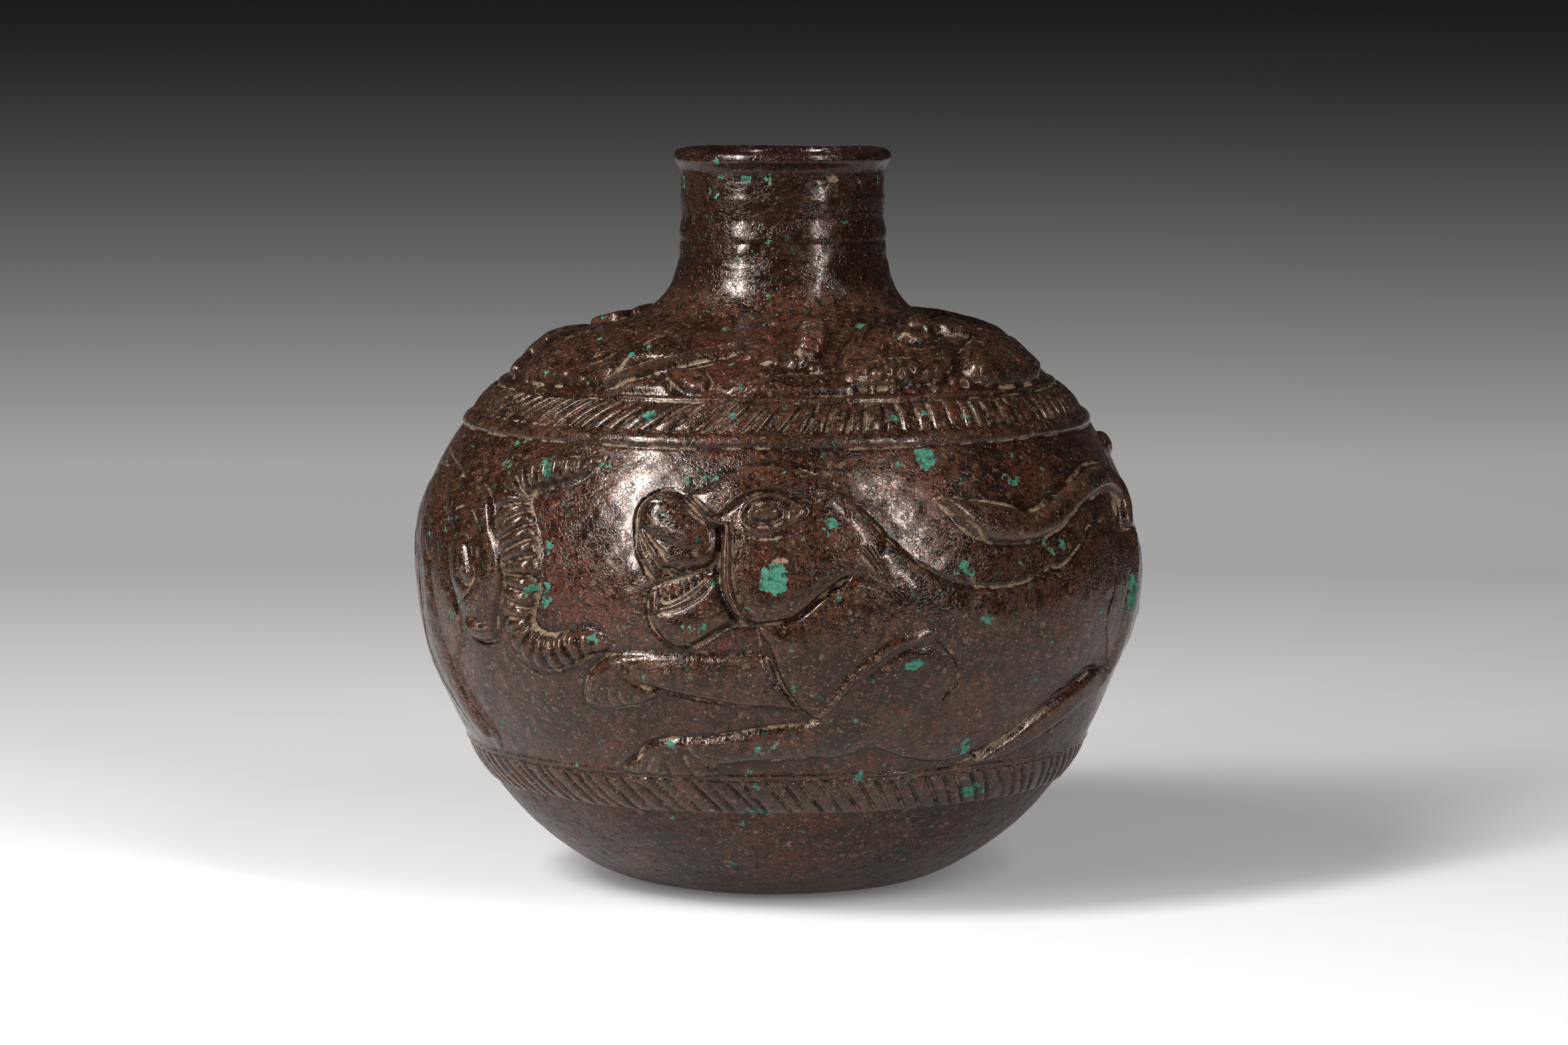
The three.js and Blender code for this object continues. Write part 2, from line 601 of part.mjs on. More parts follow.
// The cranium has an eye socket right through it, and the eye is a boss of its own in that socket
function cranium(where) {
  const skull = toManifold(boss(frieze, where, BEAST.cranium, BEAST_RELIEF, 16));
  const hole = toManifold(socket(frieze, where, BEAST.eye, EYE_STEPS, SEAT_GAP));
  return fromManifold(skull.subtract(hole));
}

function beast(tag, where) {
  const raise = (outline, share, steps) => boss(frieze, where, outline, share * BEAST_RELIEF, steps);
  const along = (spine, share, stations) => strip(frieze, where, spine, share * BEAST_RELIEF, { stations });
  return [
    named(`${tag}_cranium`, cranium(where), patina.relief),
    named(`${tag}_eye`, raise(BEAST.eye, 0.9, EYE_STEPS), patina.relief),
    named(`${tag}_muzzle`, raise(BEAST.muzzle, 1.3, 14), patina.relief),
    named(`${tag}_lower_jaw`, raise(BEAST.lowerJaw, 0.9, 14), patina.relief),
    named(`${tag}_neck`, raise(BEAST.neck, 0.8, 14), patina.relief),
    named(`${tag}_trunk`, raise(BEAST.trunk, 0.8, 20), patina.relief),
    named(`${tag}_tail`, along(BEAST.tail, 0.85, 15), patina.relief),
    named(`${tag}_upper_foreleg`, along(BEAST.upperForeleg, 0.9, 7), patina.relief),
    named(`${tag}_upper_paw`, raise(BEAST.upperPaw, 0.7, 12), patina.relief),
    named(`${tag}_lower_foreleg`, along(BEAST.lowerForeleg, 0.9, 12), patina.relief),
    named(`${tag}_lower_paw`, raise(BEAST.lowerPaw, 0.6, 12), patina.relief),
    named(`${tag}_hind_leg`, along(BEAST.hindLeg, 0.8, 11), patina.relief),
  ];
}

function mask(tag, where) {
  return [
    named(`${tag}_face`, boss(frieze, where, MASK.face, MASK_RELIEF, 14), patina.relief),
    named(`${tag}_brow`, strip(frieze, where, MASK.brow, 0.7 * MASK_RELIEF, { stations: 7 }), patina.relief),
    named(`${tag}_foreleg`, strip(frieze, where, MASK.foreleg, 0.7 * MASK_RELIEF, { stations: 9 }), patina.relief),
    named(`${tag}_mane`, strip(frieze, where, MASK.mane, MASK_RELIEF, { ribs: MANE_RIBS }), patina.relief),
  ];
}

function shoulderAnimals(tag, where) {
  const raise = (outline, share, steps = 11) => boss(shoulder, where, outline, share * SHOULDER_RELIEF, steps);
  const leg = strip(shoulder, where, SHOULDER.lyingForeleg, SHOULDER_RELIEF, { stations: 6 });
  const locks = strip(shoulder, where, SHOULDER.maneLocks, 1.2 * SHOULDER_RELIEF, { ribs: LOCK_RIBS });
  return [
    named(`${tag}_lying_head`, raise(SHOULDER.lyingHead, 0.8), patina.relief),
    named(`${tag}_lying_back`, raise(SHOULDER.lyingBack, 1.2, 14), patina.relief),
    named(`${tag}_lying_haunch`, raise(SHOULDER.lyingHaunch, 1.1), patina.relief),
    named(`${tag}_lying_foreleg`, leg, patina.relief),
    named(`${tag}_mane_locks`, locks, patina.relief),
    named(`${tag}_crouching_head`, raise(SHOULDER.crouchingHead, 1.1, 14), patina.relief),
    named(`${tag}_crouching_ear`, raise(SHOULDER.crouchingEar, 0.8), patina.relief),
    named(`${tag}_crouching_body`, raise(SHOULDER.crouchingBody, 1), patina.relief),
  ];
}

function vessel() {
  return [
    named("foot_bowl", footBowl(), patina.foot),
    named("belly_wall", wallShell(BOWL_JOINT_HEIGHT, DOME_JOINT_HEIGHT, 8), patina.wall),
    named("shoulder_dome", wallShell(DOME_JOINT_HEIGHT, NECK_JOINT_HEIGHT, 7), patina.wall),
    named("neck_sleeve", neckSleeve(), patina.wall),
    named("rolled_rim", rolledRim(), patina.rim),
  ];
}

function bands() {
  const upper = hatchedBand(UPPER_HATCH_BOTTOM, UPPER_HATCH_WIDTH, UPPER_HATCH_SLANT);
  const lower = hatchedBand(LOWER_HATCH_BOTTOM, LOWER_HATCH_WIDTH, LOWER_HATCH_SLANT);
  return [
    named("upper_hatched_band", upper, patina.band),
    named("lower_hatched_band", lower, patina.band),
    named("upper_ridge", plainBead(RIDGE_BOTTOM, RIDGE_WIDTH, RIDGE_RELIEF, 4), patina.band),
    named("upper_line", plainBead(UPPER_LINE_BOTTOM, LINE_WIDTH, LINE_RELIEF, 2), patina.band),
    named("lower_line", plainBead(LOWER_LINE_BOTTOM, LINE_WIDTH, LINE_RELIEF, 2), patina.band),
  ];
}

const HALF_TURN = 180;
const jar = new THREE.Group();
jar.add(
  ...vessel(),
  ...bands(),
  ...beast("front_beast", asDrawn),
  ...beast("back_beast", turnedBy(HALF_TURN)),
  ...mask("left_mask", asDrawn),
  ...mask("right_mask", mirroredAt(MASK_MIRROR)),
  ...shoulderAnimals("front", asDrawn),
  ...shoulderAnimals("back", turnedBy(HALF_TURN)),
);

export default jar;
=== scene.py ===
import functools
import math

import bpy
import numpy as np
from bpy.props import FloatProperty, FloatVectorProperty, PointerProperty
from bpy.types import Operator, Panel, PropertyGroup
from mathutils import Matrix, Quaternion, Vector


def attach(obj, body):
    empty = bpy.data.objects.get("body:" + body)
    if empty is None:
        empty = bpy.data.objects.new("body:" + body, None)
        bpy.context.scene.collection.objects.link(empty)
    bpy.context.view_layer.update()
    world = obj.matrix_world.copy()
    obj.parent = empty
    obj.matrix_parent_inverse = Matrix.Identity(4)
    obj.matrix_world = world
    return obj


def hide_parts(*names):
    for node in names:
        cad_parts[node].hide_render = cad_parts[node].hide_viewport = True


bl_info = {
    "name": "Bronze jar",
    "version": (1, 0, 0),
    "blender": (4, 5, 0),
    "location": "View3D > Sidebar > Jar",
    "description": "Round-bellied cast bronze jar with hatched bands and animals in relief",
    "category": "Add Mesh",
}

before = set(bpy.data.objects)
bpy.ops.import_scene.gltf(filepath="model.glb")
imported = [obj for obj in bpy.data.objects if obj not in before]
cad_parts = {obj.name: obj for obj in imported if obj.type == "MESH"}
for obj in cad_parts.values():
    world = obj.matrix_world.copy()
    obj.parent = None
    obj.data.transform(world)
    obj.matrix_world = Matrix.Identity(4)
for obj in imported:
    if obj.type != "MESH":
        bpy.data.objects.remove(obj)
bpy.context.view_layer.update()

# Lengths here are in millimetres and angles in degrees. Objects are made in metres.
MM = 0.001
SEED = 1931

# The wall's profile, the same curve as the solids have. A pull is the length of a Bezier handle.
FOOT_RADIUS = 34.0
FOOT_PULL = 31.0
BELLY_RADIUS = 100.9
BELLY_HEIGHT = 90.0
BOWL_PULL = 42.7
DOME_PULL = 28.0
DOME_TOP_HEIGHT = 154.3
DOME_TOP_RADIUS = 49.8
DOME_TOP_SLOPE = 11.0
DOME_TOP_PULL = 27.8
NECK_ROOT_PULL = 14.6
NECK_ROOT_HEIGHT = 176.9
NECK_ROOT_RADIUS = 28.7
NECK_FILLET_PULL = 12.1
NECK_WAIST_HEIGHT = 186.8
NECK_WAIST_RADIUS = 27.8
NECK_TOP_HEIGHT = 196.4
NECK_TOP_RADIUS = 28.3
NECK_PULL_HEIGHTS = (180.0, 184.0, 190.0, 194.0)
NECK_TOP_DRAW = 0.2
NECK_LEAN = 1.7
LEAN_FROM = 134.0
WALL_THICKNESS = 2.5
RIM_BEAD_RADIUS = 2.3
RIM_HEIGHT = 5.4
RIM_SPREAD = 1.9
BEAD_TURN = (-35, 190)
FLARE_LOW_PULL = (0.1, 1.4)
FLARE_HIGH_PULL = (0.9, 1.0)

# Where one ring of the jar ends and the next begins
LOWER_HATCH_BOTTOM = 29.4
LOWER_LINE_BOTTOM = 39.7
FRIEZE_BOTTOM = 41.2
RIDGE_BOTTOM = 127.9
UPPER_HATCH_BOTTOM = 131.3
UPPER_LINE_BOTTOM = 138.9
SHOULDER_BOTTOM = 140.3
NECK_BOTTOM = 159.8

# The seat of a relief piece, and the wall under it, as depths below the jar's face
SEAT_DEPTH = 1.25
BED_DEPTH = 1.4

HALF_TURN = 180.0
MASK_MIRROR = 29.0


def bezier(start, pull_a, pull_b, end, count=160):
    t = np.linspace(0, 1, count)[:, None]
    a, b, c, d = (np.array(p, float) for p in (start, pull_a, pull_b, end))
    return (1 - t) ** 3 * a + 3 * (1 - t) ** 2 * t * b + 3 * (1 - t) * t**2 * c + t**3 * d


class Profile:
    """The jar's outer curve from the middle of the foot into the mouth, by its length along the wall."""

    def __init__(self):
        slope = math.radians(DOME_TOP_SLOPE)
        up, down_dome = np.array([0, 1]), np.array([math.cos(slope), -math.sin(slope)])
        foot, belly = np.array([FOOT_RADIUS, 0]), np.array([BELLY_RADIUS, BELLY_HEIGHT])
        dome = np.array([DOME_TOP_RADIUS, DOME_TOP_HEIGHT])
        root = np.array([NECK_ROOT_RADIUS, NECK_ROOT_HEIGHT])
        waist, top = (NECK_WAIST_RADIUS, NECK_WAIST_HEIGHT), (NECK_TOP_RADIUS, NECK_TOP_HEIGHT)
        low_a, low_b, high_a, high_b = NECK_PULL_HEIGHTS
        stretches = [
            np.linspace((0, 0), foot, 40),
            bezier(foot, foot + (FOOT_PULL, 0), belly - BOWL_PULL * up, belly),
            bezier(belly, belly + DOME_PULL * up, dome + DOME_TOP_PULL * down_dome, dome),
            bezier(dome, dome - NECK_ROOT_PULL * down_dome, root - NECK_FILLET_PULL * up, root),
            bezier(root, (NECK_ROOT_RADIUS, low_a), (NECK_WAIST_RADIUS, low_b), waist),
            bezier(waist, (NECK_WAIST_RADIUS, high_a), (NECK_TOP_RADIUS - NECK_TOP_DRAW, high_b), top),
        ]
        outside = np.concatenate([s if i == 0 else s[1:] for i, s in enumerate(stretches)])
        self.top = len(outside) - 1
        self.points = np.concatenate([outside, self.bead()[1:]])
        steps = np.linalg.norm(np.diff(self.points, axis=0), axis=1)
        self.arc = np.concatenate([[0], np.cumsum(steps)])
        along = np.gradient(self.points, self.arc, axis=0)
        along /= np.linalg.norm(along, axis=1)[:, None]
        self.out = np.stack([along[:, 1], -along[:, 0]], axis=1)

    @staticmethod
    def bead():
        """The rim's flare and its rolled bead, from under the rim over its top to the inside of the mouth"""
        centre = np.array([NECK_TOP_RADIUS + RIM_SPREAD - RIM_BEAD_RADIUS, NECK_TOP_HEIGHT + RIM_HEIGHT])
        turn = np.radians(np.linspace(*BEAD_TURN, 40))[:, None]
        roll = centre + RIM_BEAD_RADIUS * np.concatenate([np.cos(turn), np.sin(turn)], axis=1)
        foot = np.array([NECK_TOP_RADIUS, NECK_TOP_HEIGHT])
        flare = bezier(foot, foot + FLARE_LOW_PULL, roll[0] - FLARE_HIGH_PULL, roll[0], 24)
        throat = np.linspace(roll[-1], (NECK_TOP_RADIUS - WALL_THICKNESS, NECK_TOP_HEIGHT), 12)
        return np.concatenate([flare, roll[1:], throat[1:]])

    def arc_at(self, height):
        """Length along the wall up to a height"""
        return np.interp(height, self.points[: self.top + 1, 1], self.arc[: self.top + 1])

    def at(self, arc):
        """Radius, height and outward normal at lengths along the wall"""
        radius = np.interp(arc, self.arc, self.points[:, 0])
        height = np.interp(arc, self.arc, self.points[:, 1])
        out = np.stack([np.interp(arc, self.arc, self.out[:, i]) for i in (0, 1)], axis=1)
        return radius, height, out / np.linalg.norm(out, axis=1)[:, None]


WALL = Profile()


def lean(height):
    """How far the axis has moved to +X at a height, because the neck leans"""
    t = np.clip((height - LEAN_FROM) / (NECK_ROOT_HEIGHT - LEAN_FROM), 0, 1)
    return NECK_LEAN * t * t * (3 - 2 * t)


def ease(t):
    t = np.clip(t, 0, 1)
    return t * t * (3 - 2 * t)


def swell(t):
    """0 at an edge, rising steeply and then rounding off to 1"""
    t = np.clip(t, 0, 1)
    return t * (2 - t)


def flowing(points, closed=False, pieces=4):
    """Drawn points with a smooth curve run through them"""
    p = np.array(points, float)
    ends = (p[-1:], p[:2]) if closed else (2 * p[:1] - p[1:2], 2 * p[-1:] - p[-2:-1])
    q = np.concatenate([ends[0], p, ends[1]])
    t = (np.arange(pieces) / pieces)[:, None, None]
    a, b, c, d = (q[i : len(q) - 3 + i] for i in range(4))
    run = 0.5 * (2 * b + (c - a) * t + (2 * a - 5 * b + 4 * c - d) * t**2 + (3 * b - a - 3 * c + d) * t**3)
    run = run.transpose(1, 0, 2).reshape(-1, p.shape[1])
    return run if closed else np.concatenate([run, p[-1:]])


def run_lengths(line):
    """Shares of a drawn line's length run at its points"""
    radius, _, _ = WALL.at(WALL.arc_at(line[:, 1]))
    x, y = line[:, 0] * np.radians(radius.mean()), WALL.arc_at(line[:, 1])
    runs = np.concatenate([[0], np.cumsum(np.hypot(np.diff(x), np.diff(y)))])
    return runs / max(runs[-1], 1e-9)


class Place:
    """Moves a drawing round the jar: turned by an angle, or mirrored about an azimuth."""

    def __init__(self, turn=0.0, mirror=None):
        self.turn = turn
        self.mirror = mirror

    def __call__(self, points):
        moved = np.array(points, float)
        if self.mirror is not None:
            moved[:, 0] = 2 * self.mirror - moved[:, 0]
        moved[:, 0] += self.turn
        return moved


# Ribbed strips: how square and scalloped their ribs are, the half width at which they are at full height,
# and the shares of that height between ribs and at the edge
RIB_SQUARENESS = 0.42
RIB_SCALLOP = 0.6
FULL_RIB_HALF = 4.2
RIB_FLOOR = 0.36
RIB_LIP = 0.35
RIB_EARTH = 0.6
# Drawn lines: the share of depth left at their ends, the depth that holds most earth, how wide the earth
# lies, and how many widths away a line ends
LINE_END = 0.25
FULL_GROOVE = 0.5
EARTH_SPREAD = 1.15
LINE_REACH = 3.2
SPOT_EDGE = 1.6
# How far a piece may reach past its outline, and how far the inlaid eye does
PIECE_REACH = 1.6
INSET_REACH = 0.5
# Lets a row that lies on the edge of a ring count as inside it
TINY = 1e-6


class Board:
    """The jar's face as a grid of points, in rows from the middle of the foot up into the mouth.

    A drawn point is an azimuth, 0 at the front and growing to the right of a viewer there, and a height.
    relief is how far each point stands off the wall. deposit, verdigris and redness are shares of pale earth,
    of green crust and of red oxide.
    """

    def __init__(self, arcs, columns):
        self.arc = arcs
        self.columns = columns
        self.turn = 360 / columns
        self.azimuth = np.arange(columns) * self.turn - HALF_TURN
        self.radius, self.height, self.out = WALL.at(arcs)
        self.per_degree = np.radians(self.radius)
        shape = (len(arcs), columns)
        self.relief, self.deposit, self.verdigris, self.redness = (np.zeros(shape) for _ in range(4))
        self.owner = np.zeros(shape, int)
        self.best = np.full(shape, -np.inf)
        self.names = []

    def window(self, line, margin):
        """The grid points near a drawn line: an index, their azimuths and their rows"""
        arcs = WALL.arc_at(line[:, 1])
        rows = np.nonzero((self.arc > arcs.min() - margin) & (self.arc < arcs.max() + margin))[0]
        if not rows.size:
            return None
        spread = margin / self.per_degree[rows].min()
        first = math.floor((line[:, 0].min() - spread + HALF_TURN) / self.turn)
        last = math.ceil((line[:, 0].max() + spread + HALF_TURN) / self.turn)
        turns = np.arange(first, last + 1)
        return np.ix_(rows, turns % self.columns), (turns * self.turn - HALF_TURN)[None, :], rows

    def measure(self, window, line, closed=False):
        """Distance to a line, the share of its length run at the nearest place, and what is inside it"""
        _, azimuth, rows = window
        scale = self.per_degree[rows][:, None]
        x, y = azimuth * scale, np.broadcast_to(self.arc[rows][:, None], (rows.size, azimuth.size))
        arcs = WALL.arc_at(line[:, 1])
        nearest = np.full(x.shape, np.inf)
        share = np.zeros(x.shape)
        inside = np.zeros(x.shape, bool)
        count = len(line) if closed else len(line) - 1
        runs = run_lengths(line)
        for i in range(count):
            k = (i + 1) % len(line)
            ax, bx, ay, by = line[i, 0] * scale, line[k, 0] * scale, arcs[i], arcs[k]
            dx, dy = bx - ax, by - ay
            t = np.clip(((x - ax) * dx + (y - ay) * dy) / (dx * dx + dy * dy + 1e-12), 0, 1)
            gap = np.hypot(x - ax - t * dx, y - ay - t * dy)
            closer = gap < nearest
            nearest = np.where(closer, gap, nearest)
            share = np.where(closer, runs[i] + t * (runs[min(i + 1, len(runs) - 1)] - runs[i]), share)
            if closed and ay != by:
                inside ^= ((ay > y) != (by > y)) & (x < ax + (y - ay) / dy * dx)
        return nearest, share, inside

    def depth_inside(self, outline, margin):
        """How deep each point near a closed outline lies inside it, and below 0 outside"""
        line = flowing(outline, closed=True)
        window = self.window(line, margin)
        if window is None:
            return None, None
        gap, _, inside = self.measure(window, line, closed=True)
        return window[0], np.where(inside, gap, -gap)

    def depth_in_strip(self, spine, margin):
        """The same for a strip along a spine of azimuth, height and half width, with the share of its run"""
        line = flowing(spine)
        window = self.window(line, margin + line[:, 2].max())
        if window is None:
            return None, None, None, None
        gap, share, _ = self.measure(window, line)
        half = np.interp(share, run_lengths(line), line[:, 2])
        return window[0], half - gap, share, half

    def mound(self, outline, height, shoulder, lip=0.4, lip_width=1.5):
        """Raises a rounded form: a firm lip at its outline, then a shoulder that rounds off over a width"""
        near, depth = self.depth_inside(outline, 2)
        if near is not None:
            rise = height * (lip * ease(depth / lip_width) + (1 - lip) * swell(depth / shoulder))
            self.relief[near] = np.maximum(self.relief[near], rise)

    def cord(self, spine, height, lip=0.45, lip_width=1.2):
        """Raises a rounded strip along a spine of azimuth, height and half width"""
        near, depth, _, half = self.depth_in_strip(spine, 2)
        if near is not None:
            rise = height * (lip * ease(depth / lip_width) + (1 - lip) * swell(depth / np.maximum(half, 0.1)))
            self.relief[near] = np.maximum(self.relief[near], rise)

    def ribbed(self, spine, height, ribs):
        """Raises a strip of rounded ribs set across its spine, with scalloped sides and earth between them"""
        near, depth, share, half = self.depth_in_strip(spine, 2)
        if near is None:
            return
        rib = np.abs(np.sin(np.pi * share * ribs)) ** RIB_SQUARENESS
        depth = depth - RIB_SCALLOP * (1 - rib)
        crown = height * np.minimum(1, half / FULL_RIB_HALF)
        side = RIB_LIP * ease(depth / 1.2) + (1 - RIB_LIP) * swell(depth / np.maximum(0.8 * half, 0.1))
        rise = crown * side * (RIB_FLOOR + (1 - RIB_FLOOR) * rib)
        self.relief[near] = np.maximum(self.relief[near], rise)
        between = ease((0.42 - rib) / 0.3) * ease(depth / 0.8)
        self.deposit[near] = np.maximum(self.deposit[near], RIB_EARTH * between)

    def line(self, drawn, height, width, earth=1.0, taper=0.12):
        """A drawn line: a bead where height is above 0, a groove that holds pale earth where it is below"""
        run = flowing(drawn)
        window = self.window(run, LINE_REACH * width)
        if window is None:
            return
        gap, share, _ = self.measure(window, run)
        fade = ease(share / taper) * ease((1 - share) / taper) * (1 - LINE_END) + LINE_END
        near = window[0]
        self.relief[near] += height * fade * np.exp(-((gap / width) ** 2))
        if height < 0:
            held = earth * min(1.0, (height / FULL_GROOVE) ** 2)
            here = held * fade * np.exp(-((gap / (EARTH_SPREAD * width)) ** 2))
            self.deposit[near] = np.maximum(self.deposit[near], here)

    def dab(self, azimuth, height, across, rise=0.0, earth=0.0, green=0.0, red=0.0, tall=1.0):
        """A round spot: a small boss or pit, a patch of earth or one of verdigris"""
        window = self.window(np.array([[azimuth, height]]), 1.3 * across * max(tall, 1))
        if window is None:
            return
        near, azimuths, rows = window
        x = (azimuths - azimuth) * self.per_degree[rows][:, None]
        y = (self.arc[rows] - WALL.arc_at(height))[:, None] / tall
        spot = ease(SPOT_EDGE - SPOT_EDGE * np.hypot(x, y) * 2 / across)
        self.relief[near] += rise * spot
        for field, share in ((self.deposit, earth), (self.verdigris, green), (self.redness, red)):
            field[near] = np.maximum(field[near], share * spot)

    def claim(self, name, drawn):
        """Gives a piece the points that lie deeper in its outline or strip than in any other"""
        measure = self.depth_in_strip if drawn.shape[1] == 3 else self.depth_inside
        near, depth = measure(drawn, 4)[:2]
        self.names.append(name)
        wins = (depth > self.best[near]) & (depth > -PIECE_REACH)
        self.owner[near] = np.where(wins, len(self.names), self.owner[near])
        self.best[near] = np.maximum(self.best[near], depth)

    def claim_inset(self, name, outline):
        """Gives a piece that is let into others all the points of its outline"""
        near, depth = self.depth_inside(outline, 2)
        self.names.append(name)
        self.owner[near] = np.where(depth > -INSET_REACH, len(self.names), self.owner[near])

    def claim_ring(self, name, low, high):
        """Gives a piece what other pieces leave free of a ring between two heights"""
        start, end = WALL.arc_at(low), WALL.arc_at(high)
        rows = (self.arc >= start - TINY) & (self.arc < end - TINY)
        self.names.append(name)
        free = rows[:, None] & (self.owner == 0)
        self.owner[free] = len(self.names)

    def points(self, lift):
        """Positions in millimetres of every grid point at a lift off the wall"""
        lift = np.broadcast_to(lift, self.relief.shape)
        across = self.radius[:, None] + self.out[:, :1] * lift
        height = self.height[:, None] + self.out[:, 1:] * lift
        a = np.radians(self.azimuth)[None, :]
        return np.stack([across * np.sin(a) + lean(height), -across * np.cos(a), height], axis=2)

    def normals(self, points):
        """Unit normals of a grid of points, facing away from the wall"""
        around = np.roll(points, -1, axis=1) - np.roll(points, 1, axis=1)
        up = np.gradient(points, axis=0)
        n = np.cross(around, up)
        size = np.linalg.norm(n, axis=2)
        return np.where((size > 1e-9)[..., None], n / np.maximum(size, 1e-12)[..., None], self.flat_normals())

    def flat_normals(self):
        a = np.radians(self.azimuth)[None, :]
        out = self.out[:, :1]
        return np.stack([out * np.sin(a), -out * np.cos(a), self.out[:, 1:] + 0 * a], axis=2)


# What each solid covers on the wall. Outlines are points of azimuth and height, spines have a half width too.
BEAST_PARTS = {
    "cranium": [
        (-12.6, 114.6), (-9.8, 119.6), (-6.2, 122.6), (-1.5, 123.6), (3.1, 122.9), (7, 120.4),
        (10.4, 116.2), (13.6, 111.4), (15.8, 107), (16.8, 100), (15.6, 94.4), (11.4, 94), (8.3, 91.4),
        (5.2, 86.9), (1.6, 84.6), (-2.4, 84), (-5.2, 87.6), (-6.9, 93), (-7.6, 99), (-7.2, 104.6),
        (-9.4, 110.4),
    ],
    "muzzle": [
        (-21.5, 110), (-20.8, 114.2), (-18, 116.6), (-14.6, 115), (-12.2, 111.8), (-9.9, 108.6),
        (-9.2, 103), (-9.6, 99.2), (-12.2, 97.6), (-15, 97), (-17.6, 95), (-19.6, 97.4), (-20.9, 102),
    ],
    "lower_jaw": [
        (-9.2, 95.4), (-11, 92.6), (-13, 89.8), (-15.6, 88), (-18, 88.6), (-18.5, 84.6), (-17.4, 80),
        (-15, 77.2), (-12.4, 78), (-9.4, 81.4), (-7, 83.6), (-6.2, 85.6), (-7.2, 89.4), (-8.2, 92.8),
    ],
    "neck": [
        (-1.6, 81.6), (1.8, 82.6), (5.8, 85), (9, 89.8), (12.6, 91.8), (16.8, 92.4), (19, 96.6), (21, 97),
        (23.6, 93.6), (26.2, 90.4), (26.2, 86), (25.8, 82), (20, 80.4), (14.2, 76), (9.4, 68.6),
        (5.8, 62.4), (3.8, 65), (1.4, 71), (-0.4, 77),
    ],
    "trunk": [
        (30.5, 88.8), (36, 88.4), (42, 89.4), (47, 91.4), (52, 94.2), (56, 98.6), (60, 101.6),
        (64.4, 101.2), (65.4, 96), (63, 90), (61, 83), (60.6, 76), (61.8, 70), (60.3, 66.2), (56, 62.6),
        (51, 60.6), (47.4, 56.6), (44, 52.4), (40, 49.6), (34, 46), (27, 45.4), (23.4, 48.8), (28.5, 57),
        (31, 64), (30.8, 71), (28.6, 77.5), (27.6, 82), (28, 86.6),
    ],
    "upper_paw": [
        (-24, 72.8), (-27, 71.6), (-29.8, 68.2), (-31.2, 64), (-31.2, 60.2), (-28.4, 59.2), (-25, 59.6),
        (-22.4, 60.4), (-21.6, 62.6), (-23, 64.4), (-24, 66.6), (-24.4, 69.6),
    ],
    "lower_paw": [
        (-15.6, 48.8), (-18.6, 49.6), (-21.6, 48.2), (-24, 45.6), (-27, 43.2), (-22, 42.5), (-16, 42.5),
        (-12.6, 43), (-14.4, 45.6),
    ],
    "tail": [
        (27.2, 113.6, 1.1), (30, 111.6, 3), (34, 108.4, 4.2), (38.4, 106.6, 4.8), (43, 105.6, 3.8),
        (48, 107.4, 3.5), (53, 110.6, 3.5), (59, 113.2, 3.7), (65, 115.2, 4), (70.4, 115, 4),
        (74.2, 111.8, 3.6), (75, 107.4, 3.4), (73.6, 103.4, 2.6),
    ],
    "upper_foreleg": [
        (-21.6, 69.2, 3.6), (-17, 68.7, 4.2), (-12, 68, 4.9), (-7, 67.4, 5.6), (-3, 67, 5.8),
        (0.4, 65.6, 4.2),
    ],
    "lower_foreleg": [
        (-13.4, 47.9, 3.1), (-9, 48.1, 3.5), (-4, 49, 4), (1, 50, 4.3), (6, 52, 4.2), (10.4, 56.4, 5.4),
        (14.6, 62.4, 7.6), (18.6, 68, 8.6), (22.4, 72.6, 6.2), (24.6, 75.6, 3),
    ],
    "hind_leg": [
        (74.6, 98, 3), (73.6, 91, 9), (72.8, 82, 13.4), (71.6, 73, 13.2), (68.6, 65, 9.4),
        (62.8, 58.8, 5.6), (56, 54, 4.6), (49.8, 49.8, 4.2), (43.6, 46, 3.4), (38.4, 43.6, 1.8),
    ],
    "eye": [
        (-5, 110.2), (-3.6, 112.2), (-1.4, 113.1), (1.4, 112.6), (3.2, 111.6), (0.8, 109.6), (-2, 108),
        (-4, 108.8),
    ],
}
MASK_PARTS = {
    "face": [
        (-65.4, 112.6), (-62.6, 104), (-61, 98), (-60, 91), (-58.2, 84.4), (-56.2, 79), (-54.6, 75.2),
        (-51.8, 74.2), (-49.4, 76), (-48.4, 81), (-47.4, 86), (-46.8, 92), (-47.8, 97.4), (-50.2, 101.6),
        (-52, 107), (-55.6, 110.4), (-60.4, 112.4),
    ],
    "brow": [(-80, 121.6, 3.2), (-74, 122.4, 4), (-67.6, 121.6, 4), (-62.2, 119.4, 3.4), (-58.2, 115.4, 1.8)],
    "foreleg": [
        (-70.8, 88, 3), (-70.2, 80, 6), (-69, 71, 7), (-67.2, 62, 6.4), (-64.6, 54, 5), (-62, 48.4, 3.8),
        (-60.4, 45, 2.2),
    ],
    "mane": [
        (-31.6, 123.2, 2), (-34.6, 121.2, 3.4), (-38.6, 120.2, 3.9), (-43.2, 118.6, 4.2),
        (-46.4, 114.6, 4.6), (-46.6, 109.6, 5), (-44.4, 104.6, 5.4), (-42.2, 99.6, 5.8), (-41.8, 94.4, 6),
        (-42.2, 89.2, 5.8), (-43.2, 84, 5.2), (-42.8, 78.6, 4.6), (-40.6, 74.2, 4.4), (-36.6, 72.6, 4.2),
        (-32.4, 75.2, 4), (-28.6, 76.6, 2.8), (-26.2, 75.8, 1.4),
    ],
}
